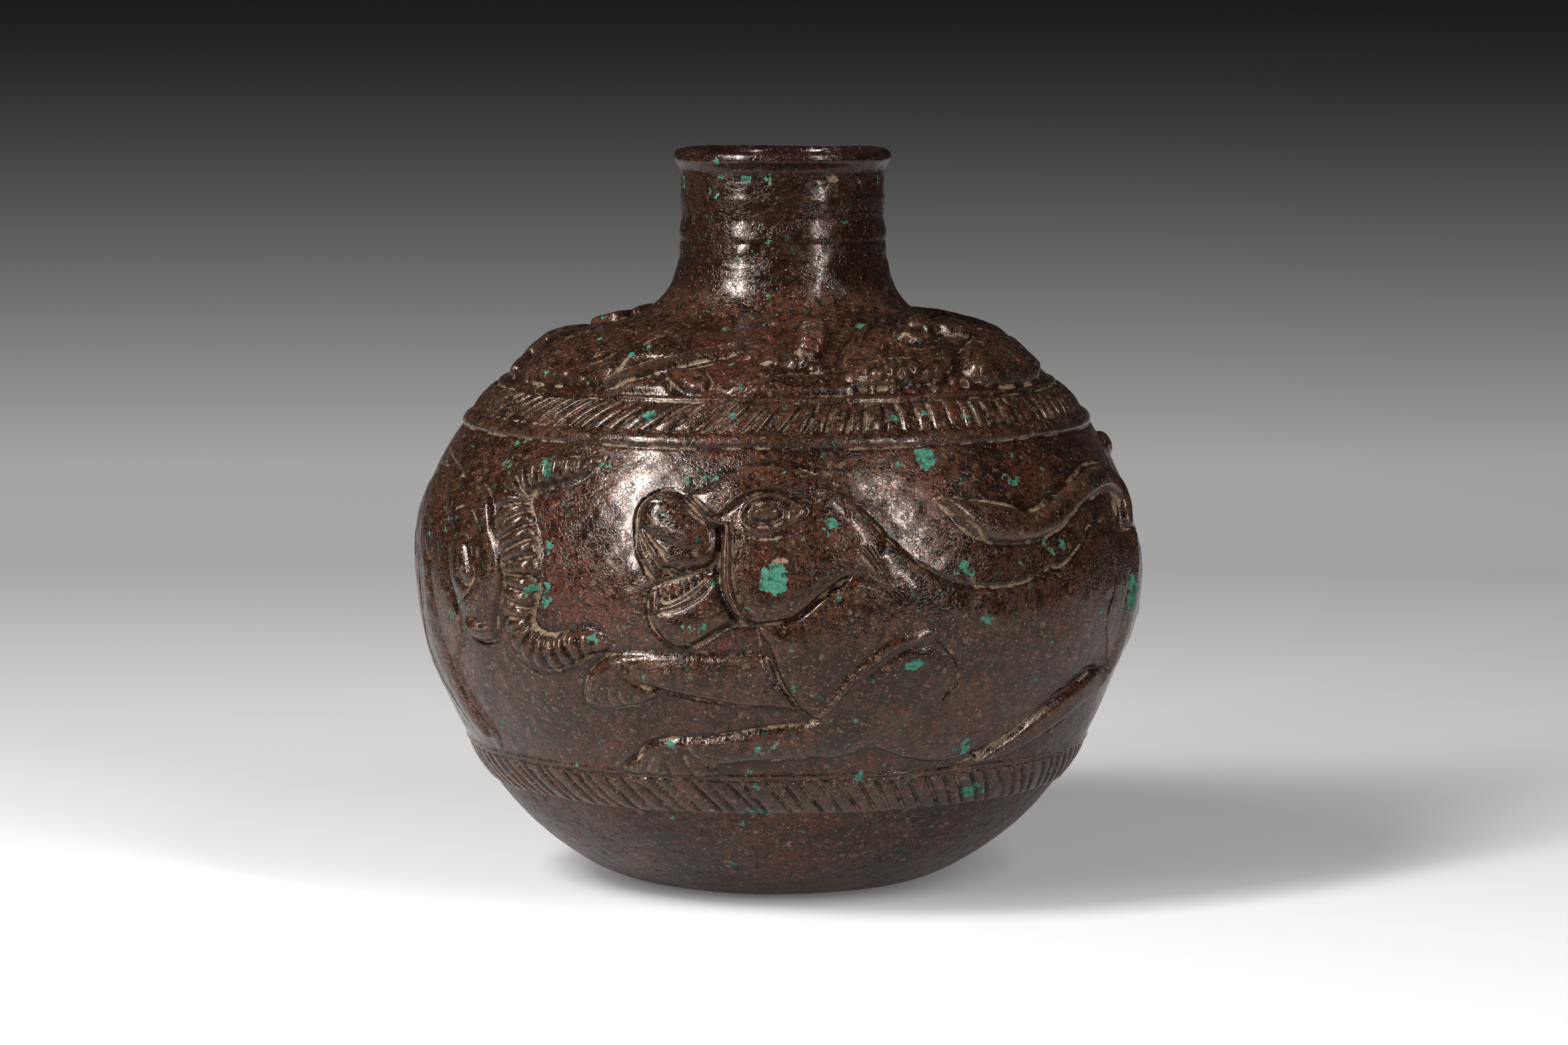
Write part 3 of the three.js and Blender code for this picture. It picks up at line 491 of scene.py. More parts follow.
SHOULDER_PARTS = {
    "lying_head": [
        (-68, 144.9), (-60, 145.4), (-51, 145.2), (-45.6, 144), (-44, 142), (-52, 141.4), (-61, 141.4),
        (-68.6, 142),
    ],
    "lying_back": [
        (-82, 150), (-75, 152.4), (-67, 153.6), (-58, 154.2), (-50, 154.8), (-46.4, 153.8), (-45, 151),
        (-45.4, 148.2), (-53, 147.2), (-62, 147.4), (-73, 148.4),
    ],
    "lying_haunch": [
        (-42.8, 154.2), (-38.6, 155.2), (-33.4, 153.8), (-29.8, 151.2), (-29.6, 148.9), (-33.4, 147.3),
        (-36.6, 145.6), (-39, 143.6), (-41, 144), (-40.2, 147), (-41, 150.4),
    ],
    "lying_foreleg": [
        (-36.6, 142.5, 1.3), (-33.2, 144.7, 1.9), (-28.8, 146.6, 2.1), (-23.4, 147.8, 2.1),
        (-18, 148.8, 2.1), (-13.6, 150.4, 1.5),
    ],
    "mane_locks": [
        (3.8, 146.4, 1.6), (1.6, 149, 2.5), (3.2, 151.6, 2.9), (6.8, 154, 3), (11.4, 155.8, 2.8),
        (16.4, 155.8, 2.2), (19.4, 154.4, 1.4),
    ],
    "crouching_head": [
        (15.2, 149.4), (18.8, 152), (23.4, 153.6), (29.4, 154.8), (37, 155), (43.6, 153.8), (45.2, 151.2),
        (44.2, 148), (39.6, 145.4), (33, 144), (26, 143.6), (20, 144.6), (16, 146.8),
    ],
    "crouching_ear": [
        (48.6, 152.2), (50.8, 154.4), (57, 155.6), (65, 156), (73.6, 155.6), (67, 154.2), (58, 153.6),
        (52, 151.9),
    ],
    "crouching_body": [
        (48.8, 148.8), (54, 150.4), (61, 151.5), (69, 151.8), (76.4, 150.4), (78.6, 147.4), (74.6, 144),
        (67, 142), (58, 141.6), (51, 142.2), (47.6, 145),
    ],
}

# Rounded forms: outline, height off the wall, width of the shoulder that rounds the form off
BEAST_FORMS = [
    ([
        (-1, 76), (1, 66), (5, 58), (12, 52), (20, 46), (30, 43), (40, 47), (47, 54), (53, 60), (60, 64.5),
        (66, 62), (72, 60), (80, 66), (84, 76), (85, 90), (80, 99), (70.8, 101), (65, 104.1), (58.8, 103.7),
        (54.6, 98.9), (49.6, 94.4), (42.3, 91.7), (36.2, 90.6), (30, 91.4), (25.8, 93.7), (21.5, 99.2),
        (16.9, 106.8), (12.3, 114.4), (10, 108), (12, 100), (10.4, 94.4), (6.5, 89.6), (2.7, 84.4),
        (-2.9, 82.7),
    ], 2.0, 8),
    ([
        (-10.8, 119), (-6.2, 123), (0, 123.9), (5.4, 122.3), (10, 117.9), (14.6, 111), (17, 106), (17, 98),
        (14.8, 94.8), (10.4, 94.4), (6.5, 89.6), (2.7, 84.4), (-2.9, 82.7), (-5, 85.8), (-7.3, 92.7),
        (-8.3, 98), (-8.1, 105.8), (-9, 108.9), (-12.3, 113), (-14.6, 115.5),
    ], 2.9, 9),
    ([
        (-21.7, 112), (-19.8, 116), (-17.3, 117.4), (-14.6, 115.6), (-12.3, 113), (-9, 108.9), (-8.3, 103),
        (-9.6, 98.4), (-12.3, 96.8), (-14.6, 96.1), (-16.5, 96.8), (-17.7, 93.7), (-18.8, 94.8),
        (-20.4, 98.2), (-21.5, 101.7), (-21.7, 105.8),
    ], 3.0, 4.5),
    ([
        (-21.7, 110.5), (-20.9, 114.3), (-18.8, 116.3), (-16, 116.2), (-13.6, 114.2), (-11.6, 110.5),
        (-10.3, 107.2), (-10.3, 103.9), (-11.6, 101), (-13.6, 100), (-15.7, 101.1), (-18.1, 102.9),
        (-20.1, 104.9), (-21.4, 107.7),
    ], 4.5, 6.5),
    ([
        (-9.2, 95.6), (-10.8, 94.1), (-12.7, 91.3), (-14.6, 88.9), (-16.9, 87.9), (-18.4, 90.6),
        (-19.2, 85.1), (-18.5, 81.7), (-16.9, 78.2), (-15, 76), (-13.5, 76.3), (-11.2, 78.2), (-8.8, 81),
        (-6.4, 83.4), (-6.6, 88), (-8, 92.7),
    ], 2.5, 6),
    ([
        (-24, 73.5), (-27, 72.5), (-30, 68.6), (-31.7, 63), (-31.5, 59.6), (-28, 58.5), (-24, 59.5),
        (-21, 60.5), (-17.5, 64), (-20.4, 66.5), (-21.5, 71),
    ], 2.3, 5),
    ([
        (-25, 73.5), (-19.2, 73.6), (-10.8, 73.6), (-1.7, 74.8), (0.6, 68), (3.8, 59.4), (0, 59.9),
        (-5, 60.1), (-10.8, 62), (-17.3, 64.1), (-20.4, 65.1), (-22.7, 67.5),
    ], 2.2, 5.5),
    ([
        (-15.4, 51.3), (-11.5, 51.7), (-6.9, 52.7), (-2.3, 54.1), (4.6, 55.6), (8.1, 60.3), (10, 64.8),
        (12.3, 69.6), (15, 73.4), (17.7, 76.8), (20.8, 78.6), (24.2, 78.9), (27.7, 73.4), (28.8, 69.9),
        (28.7, 65.8), (26.2, 61), (22, 55), (17, 50), (11, 46.6), (4.6, 45.8), (0, 45.4), (-5, 45),
        (-8.5, 44.3), (-11.5, 44.1), (-14.6, 47.2),
    ], 2.7, 7),
    ([
        (-14.6, 51), (-21, 50), (-24.2, 46), (-28, 42.3), (-27, 37), (-20, 36), (-10, 36.5), (-9, 41),
        (-11.5, 44.4),
    ], 1.7, 4),
    ([
        (-4.4, 110.5), (-3.7, 112.6), (-1.6, 113.7), (0.5, 112.9), (1.4, 110.7), (0.5, 108.7),
        (-1.5, 107.9), (-3.6, 108.5),
    ], 5.7, 3.2),
    ([
        (11.4, 101), (12.6, 102.4), (14, 100), (15.3, 96.6), (16.7, 92.6), (14.7, 94.7), (12.8, 97.6),
    ], 4.2, 1.6),
]
BEAST_CORDS = [
    ([
        (26.2, 114.3, 0.5), (29, 112.2, 2.6), (33, 108.6, 5.2), (38.4, 106.7, 5.1), (43.1, 105.6, 4),
        (49.2, 107.6, 4), (54, 111, 3.9), (59, 113.4, 3.9), (65, 115.2, 4), (70.4, 115, 4.2),
        (74.4, 111.8, 4), (75.4, 107.4, 3.8), (73.6, 102.6, 2.8),
    ], 3.0),
    ([(69, 63, 6), (62, 58.6, 4.6), (55, 54, 4.6), (48.4, 49.2, 4), (42.4, 45.4, 3), (37, 43.4, 1.4)], 2.4),
    ([(74.6, 98, 4), (74, 88, 8), (72.8, 78, 11), (70.6, 68, 8), (67, 61.4, 4)], 2.9),
    ([
        (-7.2, 107.8, 1.3), (-7.2, 101.4, 2.1), (-7.2, 95.9, 2), (-6.7, 91.1, 1.9), (-5.7, 87.2, 1.6),
        (-4.3, 84.3, 1.1),
    ], 4.3),
    ([
        (-14.3, 115.4, 0.6), (-12.6, 113.3, 1), (-11.1, 111, 1.1), (-9.9, 109.3, 1.1), (-8.5, 108.4, 1.1),
        (-7.2, 108.2, 1.1),
    ], 4.3),
    ([
        (-8.6, 110.8, 0.7), (-7.4, 112.6, 1), (-6, 114.6, 1.1), (-4, 116.1, 1.2), (-1.3, 117, 1.2),
        (1.4, 116.8, 1.1), (3.4, 115.4, 0.9), (5.1, 113.5, 0.6),
    ], 4.4),
]

# Drawn lines. Each row has a height off the form under it, below 0 for a groove, a width and its points.
BEAST_LINES = [
    (-0.55, 0.55, [
        (-10.8, 117.7), (-8.9, 120.2), (-6.6, 122.3), (-2.3, 123.7), (2.7, 123), (6.9, 121.3),
        (10.1, 118.5), (13, 112.3), (16.2, 106.1), (20.1, 100.1), (24.2, 96), (28.7, 92.2), (36.2, 90.6),
        (42.3, 91.7), (46.9, 94.2), (49.6, 94.4), (54.6, 98.9), (58.8, 103.7), (65, 104.1), (70.8, 101),
    ]),
    (-0.6, 0.6, [
        (26.2, 114.5), (31.5, 113.7), (38.5, 112), (41.3, 109.9), (45.4, 109.9), (50.4, 113.4),
        (55.4, 115.4), (62.3, 118.9), (70, 119.2), (76.9, 115.4), (78.1, 109), (76.5, 104.4),
    ]),
    (-0.6, 0.6, [
        (27.7, 111.3), (31.2, 107.2), (34.6, 102.3), (40, 101.3), (46.2, 102.3), (53.1, 107.2),
        (60.8, 110.3), (68, 110.6),
    ]),
    (-0.5, 0.5, [
        (-14.6, 115.9), (-17.4, 117.2), (-19.8, 116.2), (-21.6, 113.8), (-22.1, 110.9), (-21.9, 106.7),
        (-21.4, 102), (-20.2, 97.2), (-18.6, 92.5),
    ]),
    (-0.75, 0.55, [(-19.7, 114.2), (-18.4, 115), (-16.7, 115.1), (-15.1, 114.3)]),
    (0.4, 0.5, [(-19.9, 113), (-18.4, 113.7), (-16.7, 113.8), (-15, 113)]),
    (-0.5, 0.45, [
        (-13.9, 112.3), (-12.5, 110.2), (-11, 108.3), (-9.8, 106.6), (-9.4, 103.6), (-10.6, 100.6),
    ]),
    (-0.55, 0.42, [(-21.3, 107.5), (-20.1, 103.9), (-18.6, 100.2), (-17, 96.9), (-15, 94.5)]),
    (-0.55, 0.42, [(-20.4, 107.4), (-18.1, 102.9), (-16.2, 98.9), (-14.1, 95.5)]),
    (-0.45, 0.42, [(-21.2, 104.8), (-20.7, 100.6), (-19.3, 95.8), (-17.7, 92.8)]),
    (-0.45, 0.42, [(-17.6, 102.6), (-16.2, 100.4), (-14.4, 98), (-12.7, 96.2)]),
    (0.5, 0.42, [(-20.9, 107), (-19.1, 103.2), (-17.4, 99.4), (-15.6, 96.2), (-14.5, 95.2)]),
    (0.5, 0.42, [(-21.2, 105.6), (-20.3, 102), (-18.9, 98), (-17.4, 94.9)]),
    (0.4, 0.42, [(-18.6, 103.4), (-17.2, 100.6), (-15.3, 97.6), (-13.4, 95.6)]),
    (-0.8, 0.6, [(-18.4, 92.6), (-15.2, 94.2), (-12.7, 95.6), (-10.6, 97.2), (-9.2, 98.6)]),
    (0.9, 0.75, [(-17.5, 86.9), (-15.5, 87.6), (-13.2, 89.8), (-10.9, 92.9), (-9.3, 96.2)]),
    (-0.6, 0.5, [(-17.7, 85.6), (-15.4, 86.2), (-12.7, 88.3), (-10.3, 91.4), (-8.9, 94.6)]),
    (-0.55, 0.5, [
        (-19, 91.5), (-19.5, 87.6), (-19.3, 83.6), (-18.2, 79.8), (-16.2, 76.9), (-13.6, 75.9),
        (-11.6, 77.2), (-9.3, 79.7), (-7.3, 81.8), (-5.1, 82.5), (-3.1, 81.9),
    ]),
    (-0.6, 0.5, [(-8.8, 106.6), (-8.7, 101), (-8.7, 96), (-8.2, 91.4), (-7.1, 87.1), (-5.4, 83.4)]),
    (-0.5, 0.5, [(-3.6, 83.6), (-2.6, 80.4), (-2.1, 74.5), (-1.2, 70.4), (0.7, 64.8)]),
    (0.9, 0.8, [
        (-5.3, 109.7), (-4.5, 112.5), (-2.5, 114.6), (-0.1, 115.2), (2.2, 113.8), (4.3, 111.3),
        (2.5, 109.1), (0.2, 107.4), (-2.1, 106.6), (-4.1, 107.4), (-5.3, 109.7),
    ]),
    (-0.7, 0.44, [
        (-4.6, 110.5), (-3.8, 112.9), (-1.6, 114.1), (0.6, 113.2), (1.7, 110.7), (0.6, 108.3),
        (-1.5, 107.4), (-3.8, 108.1), (-4.6, 110.5),
    ]),
    (-0.6, 0.5, [(-7.3, 110.8), (-4.7, 114.5), (-2.4, 115.9), (0, 116.2), (2.4, 115.2), (4.8, 113.2)]),
    (-0.5, 0.6, [(-7.4, 107.8), (-5, 105.6), (-2, 104.6), (1.4, 105.4), (4.4, 107.6)]),
    (0.5, 0.4, [
        (11.2, 101), (12.6, 102.7), (14.2, 100), (15.5, 96.6), (16.9, 92.4), (14.6, 94.4), (12.6, 97.6),
        (11.2, 101),
    ]),
    (-0.7, 0.6, [(12.2, 100.9), (13.5, 98.6), (15.5, 94.6)]),
    (-0.55, 0.5, [(13.8, 103), (15.4, 98.9), (17.2, 92.9)]),
    (-0.45, 0.45, [(10.3, 116.4), (10.8, 113.3), (11, 109.6)]),
    (-0.6, 0.5, [(-2.9, 82.4), (0.2, 83.2), (2.4, 84.3), (4.6, 87.2), (6.8, 90.6), (9, 93), (10.6, 93.9)]),
    (-0.35, 0.45, [(10.6, 93.9), (12.4, 93.4), (14.7, 92.3), (16.7, 92.4)]),
    (0.75, 0.7, [(-23.8, 73.2), (-18.7, 73.2), (-12.8, 73.3), (-7.1, 73.5), (-1.8, 73.4)]),
    (-0.45, 0.5, [(-24.4, 74.7), (-18.7, 74.9), (-12.8, 75), (-7.1, 75.3), (-2.4, 75.6)]),
    (-0.6, 0.55, [
        (-25.2, 70.6), (-22.1, 66.4), (-17.9, 64.2), (-11.5, 62), (-4.5, 60.7), (2.5, 59.7), (4.9, 57.6),
    ]),
    (-0.5, 0.5, [(-24.4, 74), (-27, 72.9), (-30, 68.6), (-31.7, 63), (-31.5, 59)]),
    (-0.45, 0.45, [(-28.6, 68), (-29.2, 63.6), (-28.4, 59.5)]),
    (-0.45, 0.45, [(-26.4, 65), (-26.8, 62), (-26, 59.6)]),
    (-0.45, 0.45, [(-24.5, 65.5), (-24.8, 62.4), (-23.8, 60)]),
    (-0.4, 0.45, [(-22.2, 64), (-22.4, 62), (-21.6, 60.4)]),
    (1.1, 1.5, [
        (5.2, 56.8), (8.1, 60.3), (10, 64.8), (12.3, 69.6), (15, 73.4), (17.7, 76.8), (20.8, 78.6),
        (23.8, 79.6),
    ]),
    (-0.6, 0.6, [
        (24.2, 79.2), (25.8, 76.8), (27.7, 73.4), (28.8, 69.9), (28.7, 65.8), (26.9, 63), (25.6, 60.4),
    ]),
    (-0.3, 0.7, [(-15.4, 51.7), (-11.5, 52.1), (-6.9, 53.1), (-2.3, 54.5), (4.6, 55.9)]),
    (-0.4, 0.6, [(-11.5, 44.1), (-8.5, 44.3), (-5, 45), (0, 45.4), (4.6, 45.8), (11, 46.8)]),
    (-0.5, 0.5, [(-14.6, 51.4), (-18, 51), (-21.9, 49.2), (-24.2, 45.8), (-28, 42.3)]),
    (-0.6, 0.55, [(-22.4, 47), (-25, 43.8), (-26.6, 40.8)]),
    (-0.6, 0.55, [(-20.4, 47.4), (-22, 43.6), (-22.6, 40.4)]),
    (-0.6, 0.55, [(-17.8, 48), (-18.6, 44), (-18.4, 40)]),
    (-0.6, 0.55, [(-15.4, 47.6), (-15, 43.8), (-14.2, 40.2)]),
    (0.6, 0.9, [(-24.6, 46.4), (-27.4, 43.6), (-29, 41.4)]),
    (0.6, 0.9, [(-21.4, 48), (-23.4, 44), (-24.6, 41)]),
    (0.6, 0.9, [(-19, 48.4), (-20.2, 44), (-20.6, 40.8)]),
    (-0.6, 0.55, [
        (65, 92), (63.8, 86.5), (62.1, 80.3), (62.1, 76.8), (63.1, 72.7), (65.8, 65.1), (68.1, 61.7),
    ]),
    (-0.6, 0.6, [(68.8, 59.9), (66.2, 58.9), (60.8, 52.7), (57.7, 49.6), (54.6, 47.5), (52.7, 45.8)]),
    (-0.6, 0.6, [
        (62.3, 64.8), (58.8, 63), (55.8, 60.6), (52.7, 59.6), (49.6, 56.8), (46.9, 53.4), (44.6, 49.9),
        (38.5, 45.1), (35, 42.3), (30, 41.6),
    ]),
    (-0.4, 0.45, [(26.5, 53), (30.4, 52), (35.4, 52)]),
]
TEETH = {
    "from": (-17.6, 92.2), "to": (-10.8, 96.2), "count": 7,
    "lean": (0.5, -3.6), "depth": -0.55, "width": 0.36,
}

MASK_FORMS = [
    ([
        (-68, 114.6), (-64.6, 106.5), (-61.5, 101.7), (-61.2, 96.1), (-60.4, 91.3), (-59.2, 86.5),
        (-56.9, 82.7), (-56.3, 78.9), (-55.4, 75.1), (-53.1, 73.4), (-50.4, 73.7), (-48.5, 75.1),
        (-47.9, 81), (-46.4, 88), (-45.6, 94), (-46.6, 100), (-49.6, 106), (-52, 112), (-56.4, 115.6),
        (-62, 116.4),
    ], 2.8, 7),
    ([
        (-87, 108), (-84, 90), (-82, 74), (-78, 60), (-70, 48), (-62, 44), (-58, 46), (-57, 50), (-60, 56),
        (-62.6, 64), (-60.4, 70), (-58, 76), (-59.6, 84), (-61.8, 92), (-62.6, 102), (-67.6, 112),
        (-78, 116),
    ], 1.0, 9),
    ([(-57.4, 100.4), (-54.6, 101), (-52.8, 97.5), (-51.6, 91.3), (-53.5, 89.2), (-55.6, 91.6)], 4.0, 3.2),
    ([(-54.6, 80.6), (-50.6, 80.4), (-49.6, 77.4), (-51, 75.4), (-53.6, 75.6)], 4.2, 3),
]
MASK_CORDS = [
    ([(-77, 121.8, 1), (-72, 122, 3), (-67, 121.4, 4), (-62.4, 119.2, 3.8), (-58.2, 115.2, 2.2)], 1.3),
    ([
        (-70.8, 92, 4), (-70.2, 80, 6.4), (-69, 71, 6.8), (-67.2, 62, 6.2), (-64.6, 54, 5),
        (-61.6, 47.6, 3.8),
    ], 1.8),
]
MASK_LINES = [
    (-0.6, 0.6, [
        (-68, 115.2), (-64.6, 106.5), (-61.5, 101.7), (-61.2, 96.1), (-60.4, 91.3), (-56.9, 82.7),
        (-56.3, 78.9), (-55.4, 75.1), (-53.1, 73.4), (-50.4, 73.7), (-48.5, 75.1), (-48.1, 81),
    ]),
    (-0.5, 0.5, [(-54.6, 81.4), (-54.2, 78.6), (-53.5, 76.4)]),
    (-0.5, 0.5, [(-51.6, 78.4), (-50.4, 77.7), (-49.6, 78.6)]),
    (-0.55, 0.5, [
        (-57.6, 101), (-54.6, 101.4), (-52.6, 97.8), (-51.4, 91.3), (-53.3, 88.8), (-55.8, 91.3),
        (-57.6, 101),
    ]),
    (-0.45, 0.5, [(-51.5, 99.6), (-50.2, 94), (-50.4, 88.6)]),
    (-0.45, 0.5, [(-52.1, 88.9), (-53.8, 86.4), (-56.5, 83.8)]),
    (-0.5, 0.5, [(-60.4, 106.5), (-58.5, 108.2), (-55, 108), (-52, 104.6)]),
    (-0.5, 0.55, [(-84, 116.4), (-76, 117.6), (-69.6, 117.2), (-64, 114.8), (-60, 111.8)]),
    (0.25, 0.8, [(-72, 126.2), (-69.6, 126.2), (-64.6, 124.5), (-60, 121.7), (-58, 118.6), (-57.3, 115.5)]),
    (-0.55, 0.55, [(-56.5, 75.4), (-58.5, 72.7), (-60, 69.6), (-62.3, 67.9), (-64, 66.1)]),
    (-0.6, 0.6, [(-64.6, 63), (-61.5, 53.4), (-60, 52), (-57.3, 46.8), (-58.5, 42)]),
    (-0.5, 0.55, [(-76.6, 92), (-76, 80), (-74.6, 68), (-71.4, 57), (-67.4, 48)]),
    (-0.5, 0.5, [(-73.6, 109), (-73.4, 102), (-71.4, 96), (-67.6, 92)]),
    (-0.5, 0.5, [(-84, 106), (-82.4, 98), (-79.6, 92)]),
]
MANE_CORDS = [
    ([
        (-30.8, 123.9, 1.4), (-34.4, 121.6, 3.2), (-39, 120.4, 4.2), (-43.4, 118.6, 5), (-46.2, 114.6, 5.8),
        (-46, 109.6, 6.4), (-44.4, 104.6, 6.8), (-42.6, 98.9, 6.8), (-41.8, 93, 6.2), (-42.3, 87, 5.8),
        (-42.9, 81.6, 5.5), (-42.2, 77.2, 5.3), (-40, 73.9, 5.1), (-37, 72.9, 4.9), (-33.6, 74.3, 4.5),
        (-30, 76.4, 3.8), (-26.2, 76.3, 1.9),
    ], 3.9, 26),
]
MANE_EDGES = [
    (-0.3, 0.5, [
        (-29.8, 125), (-33.8, 118), (-40, 115.4), (-42.4, 112), (-39.4, 105.4), (-37.8, 98.9),
        (-37.8, 90.6), (-39.6, 83.7), (-39.4, 79.2), (-35.4, 78.2), (-30, 81.2), (-26, 79), (-24.6, 75.8),
    ]),
    (-0.3, 0.5, [
        (-31.8, 126), (-39.6, 125), (-47.7, 122.6), (-50.6, 115), (-49.8, 105.1), (-46.9, 98),
        (-45.8, 90.6), (-46.8, 83.7), (-46.8, 79.6), (-44.4, 70.4), (-40, 67.2), (-35, 68.4), (-30.4, 72.4),
        (-25.2, 74),
    ]),
]

SHOULDER_FORMS = [
    ([
        (-86, 143), (-84, 152.6), (-75, 154.6), (-60, 155.4), (-48, 156.8), (-40, 158), (-34, 157),
        (-27, 154.4), (-24, 151), (-26, 149.4), (-31, 147.6), (-36, 143.6), (-42, 142), (-60, 141.6),
        (-76, 141.4),
    ], 1.3, 6),
    ([
        (-40.4, 155.2), (-37.3, 155.5), (-29.9, 154.2), (-24.9, 151.9), (-24.6, 149.3), (-27, 147.7),
        (-31, 147.2), (-34.4, 145), (-37.3, 142.4), (-41, 143), (-42.4, 147), (-41.6, 151),
    ], 2.1, 5),
    ([
        (-82, 150), (-76, 153), (-66, 154.6), (-54.7, 156.2), (-44, 155.8), (-41.6, 153.5), (-42.6, 149.6),
        (-45.4, 146.6), (-51, 145.2), (-65.6, 144), (-74, 146),
    ], 2.4, 7),
    ([(-68, 145.6), (-51, 145.8), (-44.6, 144), (-46, 141.6), (-66, 141.4)], 1.5, 3),
    ([
        (15, 149.4), (18.8, 152.4), (24, 154.4), (31, 156), (39, 156), (45, 154.2), (46, 151),
        (44.8, 147.4), (39, 144.6), (31, 142.6), (22, 142), (15, 142.2), (13.6, 146),
    ], 2.1, 5.5),
    ([
        (57.4, 150.9), (68, 152), (80.2, 151.7), (86.9, 148.9), (80.6, 145.4), (74.4, 141.6), (65.8, 140.8),
        (53.4, 140.9), (47, 142.4), (46.1, 145.9), (50, 149.2),
    ], 2.3, 6),
    ([(47.6, 155.2), (54, 156.6), (62.6, 157.1), (68.7, 156.2), (60.3, 154.3), (51.4, 153.8)], 2.0, 2.2),
    ([(57, 154.6), (68, 155.9), (80.4, 155.3), (76, 153.2), (68, 152.4)], 1.8, 2.2),
    ([
        (31, 151.6), (35.6, 153), (40.4, 153.2), (42.4, 151.8), (43, 150.4), (38.4, 149.8), (33.4, 150.3),
    ], 3.3, 2.4),
    ([
        (-34.3, 140.9), (-33, 143), (-30, 144.2), (-26.4, 145), (-23.6, 143.9), (-22, 141.4), (-23, 140.7),
    ], 1.0, 3),
    ([
        (-25.8, 146), (-22.4, 146.9), (-16.9, 146.2), (-14.4, 144.1), (-14.7, 141.8), (-16.9, 140.8),
        (-19.7, 141.7), (-23, 143.9),
    ], 1.5, 2.8),
    ([
        (-10.2, 142), (-6.2, 144.4), (0, 145.6), (8.3, 146), (15.5, 145.6), (17.6, 143.6), (15.7, 141),
        (8.1, 140.8), (0, 140.7), (-5.7, 140.8),
    ], 0.9, 2.6),
]
SHOULDER_CORDS = [
    ([
        (-37.5, 142, 0.9), (-33.7, 144, 1.3), (-30.7, 145.6, 1.4), (-27.6, 147.1, 1.4), (-23.9, 147.9, 1.3),
        (-20.5, 149, 1.3), (-15.8, 150, 1.2), (-11.9, 150.8, 1.1), (-9.5, 151.4, 0.8),
    ], 2.4),
    ([
        (21.2, 151.4, 0.9), (24, 152.8, 1.2), (27, 153.9, 1.3), (31, 154.9, 1.3), (36.5, 155.6, 1.2),
        (43, 156.2, 1.1), (51.1, 156.8, 0.8),
    ], 2.9),
]
SHOULDER_RIBBED = [
    ([(6.4, 149.2, 3), (8, 151.4, 4), (9.6, 153.4, 4.4), (11.4, 155.4, 4.4), (13, 157.2, 3.4)], 2.2, 7),
]
SHOULDER_LINES = [
    (-0.5, 0.6, [
        (-33.7, 154.4), (-33.5, 152.5), (-34.7, 150.2), (-35.3, 147.5), (-36.2, 144.9), (-37, 142),
    ]),
    (-0.45, 0.5, [(-41, 156), (-36.6, 156), (-29.5, 154.8), (-24, 152.2), (-23.6, 149), (-26.7, 147.2)]),
    (-0.5, 0.5, [
        (-37, 141.2), (-33, 142.8), (-30, 144.3), (-27, 145.8), (-23, 146.7), (-19, 147.7), (-14, 148.8),
    ]),
    (-0.4, 0.45, [(-26, 146), (-23.4, 143.8), (-22, 141.3)]),
    (-0.4, 0.45, [(-16.4, 147), (-13.8, 144), (-14.2, 141.6)]),
    (-0.4, 0.45, [(-14.7, 142.8), (-11.9, 142.2), (-9.1, 140.9), (-5.7, 140.5)]),
    (-0.4, 0.5, [(-10.4, 142.3), (-6.2, 144.9), (0, 146.1), (8.3, 146.5), (15.7, 146.1), (18.3, 143.6)]),
    (-0.4, 0.6, [(-72, 143.6), (-62, 143.2), (-51, 144.2), (-44, 146), (-41.4, 149.4), (-41.8, 153)]),
    (-0.35, 0.7, [(-70.7, 148.2), (-63, 150.4), (-57, 153.4), (-54, 156.2)]),
    (1.1, 0.6, [
        (-5.5, 155.8), (-5, 157.3), (-2.5, 157.9), (-0.2, 157), (0.2, 155.5), (-1.3, 154.4), (-3.7, 154.4),
        (-5.5, 155.8),
    ]),
    (-0.4, 0.5, [(20, 151.6), (24.4, 153.8), (31, 155.6), (40, 156.8), (50, 157.6)]),
    (0.6, 0.45, [
        (29.4, 151.6), (32.4, 153.2), (36.6, 154), (41, 154), (43.6, 152.6), (44.6, 150.2), (38.4, 149),
        (32.7, 149.5), (29.4, 151.6),
    ]),
    (-0.5, 0.4, [
        (30.6, 151.5), (35, 153.4), (40.6, 153.6), (43, 152), (43.6, 150.2), (38.4, 149.5), (33.2, 150),
        (30.6, 151.5),
    ]),
    (-0.45, 0.5, [(15, 146.6), (22, 147), (28, 147.6), (35, 147), (43, 147.2)]),
    (-0.4, 0.7, [(57.7, 149.9), (63.6, 148.4), (64.5, 145.1), (62.3, 141.5)]),
    (-0.35, 0.7, [(75.4, 150.9), (74.9, 148.1), (72.2, 144.5), (68, 141)]),
    (-0.4, 0.5, [(46.2, 154.6), (46.4, 151.4), (45.6, 148.4), (45.8, 145.4), (46.6, 142.6)]),
    (-0.35, 0.5, [(46.6, 155.2), (50.6, 153.2), (60, 153.6), (70, 152.2), (80, 152.8)]),
    (-0.35, 0.5, [(47, 155.6), (54, 157.2), (64, 157.8), (74, 156.8), (82, 155.6)]),
]

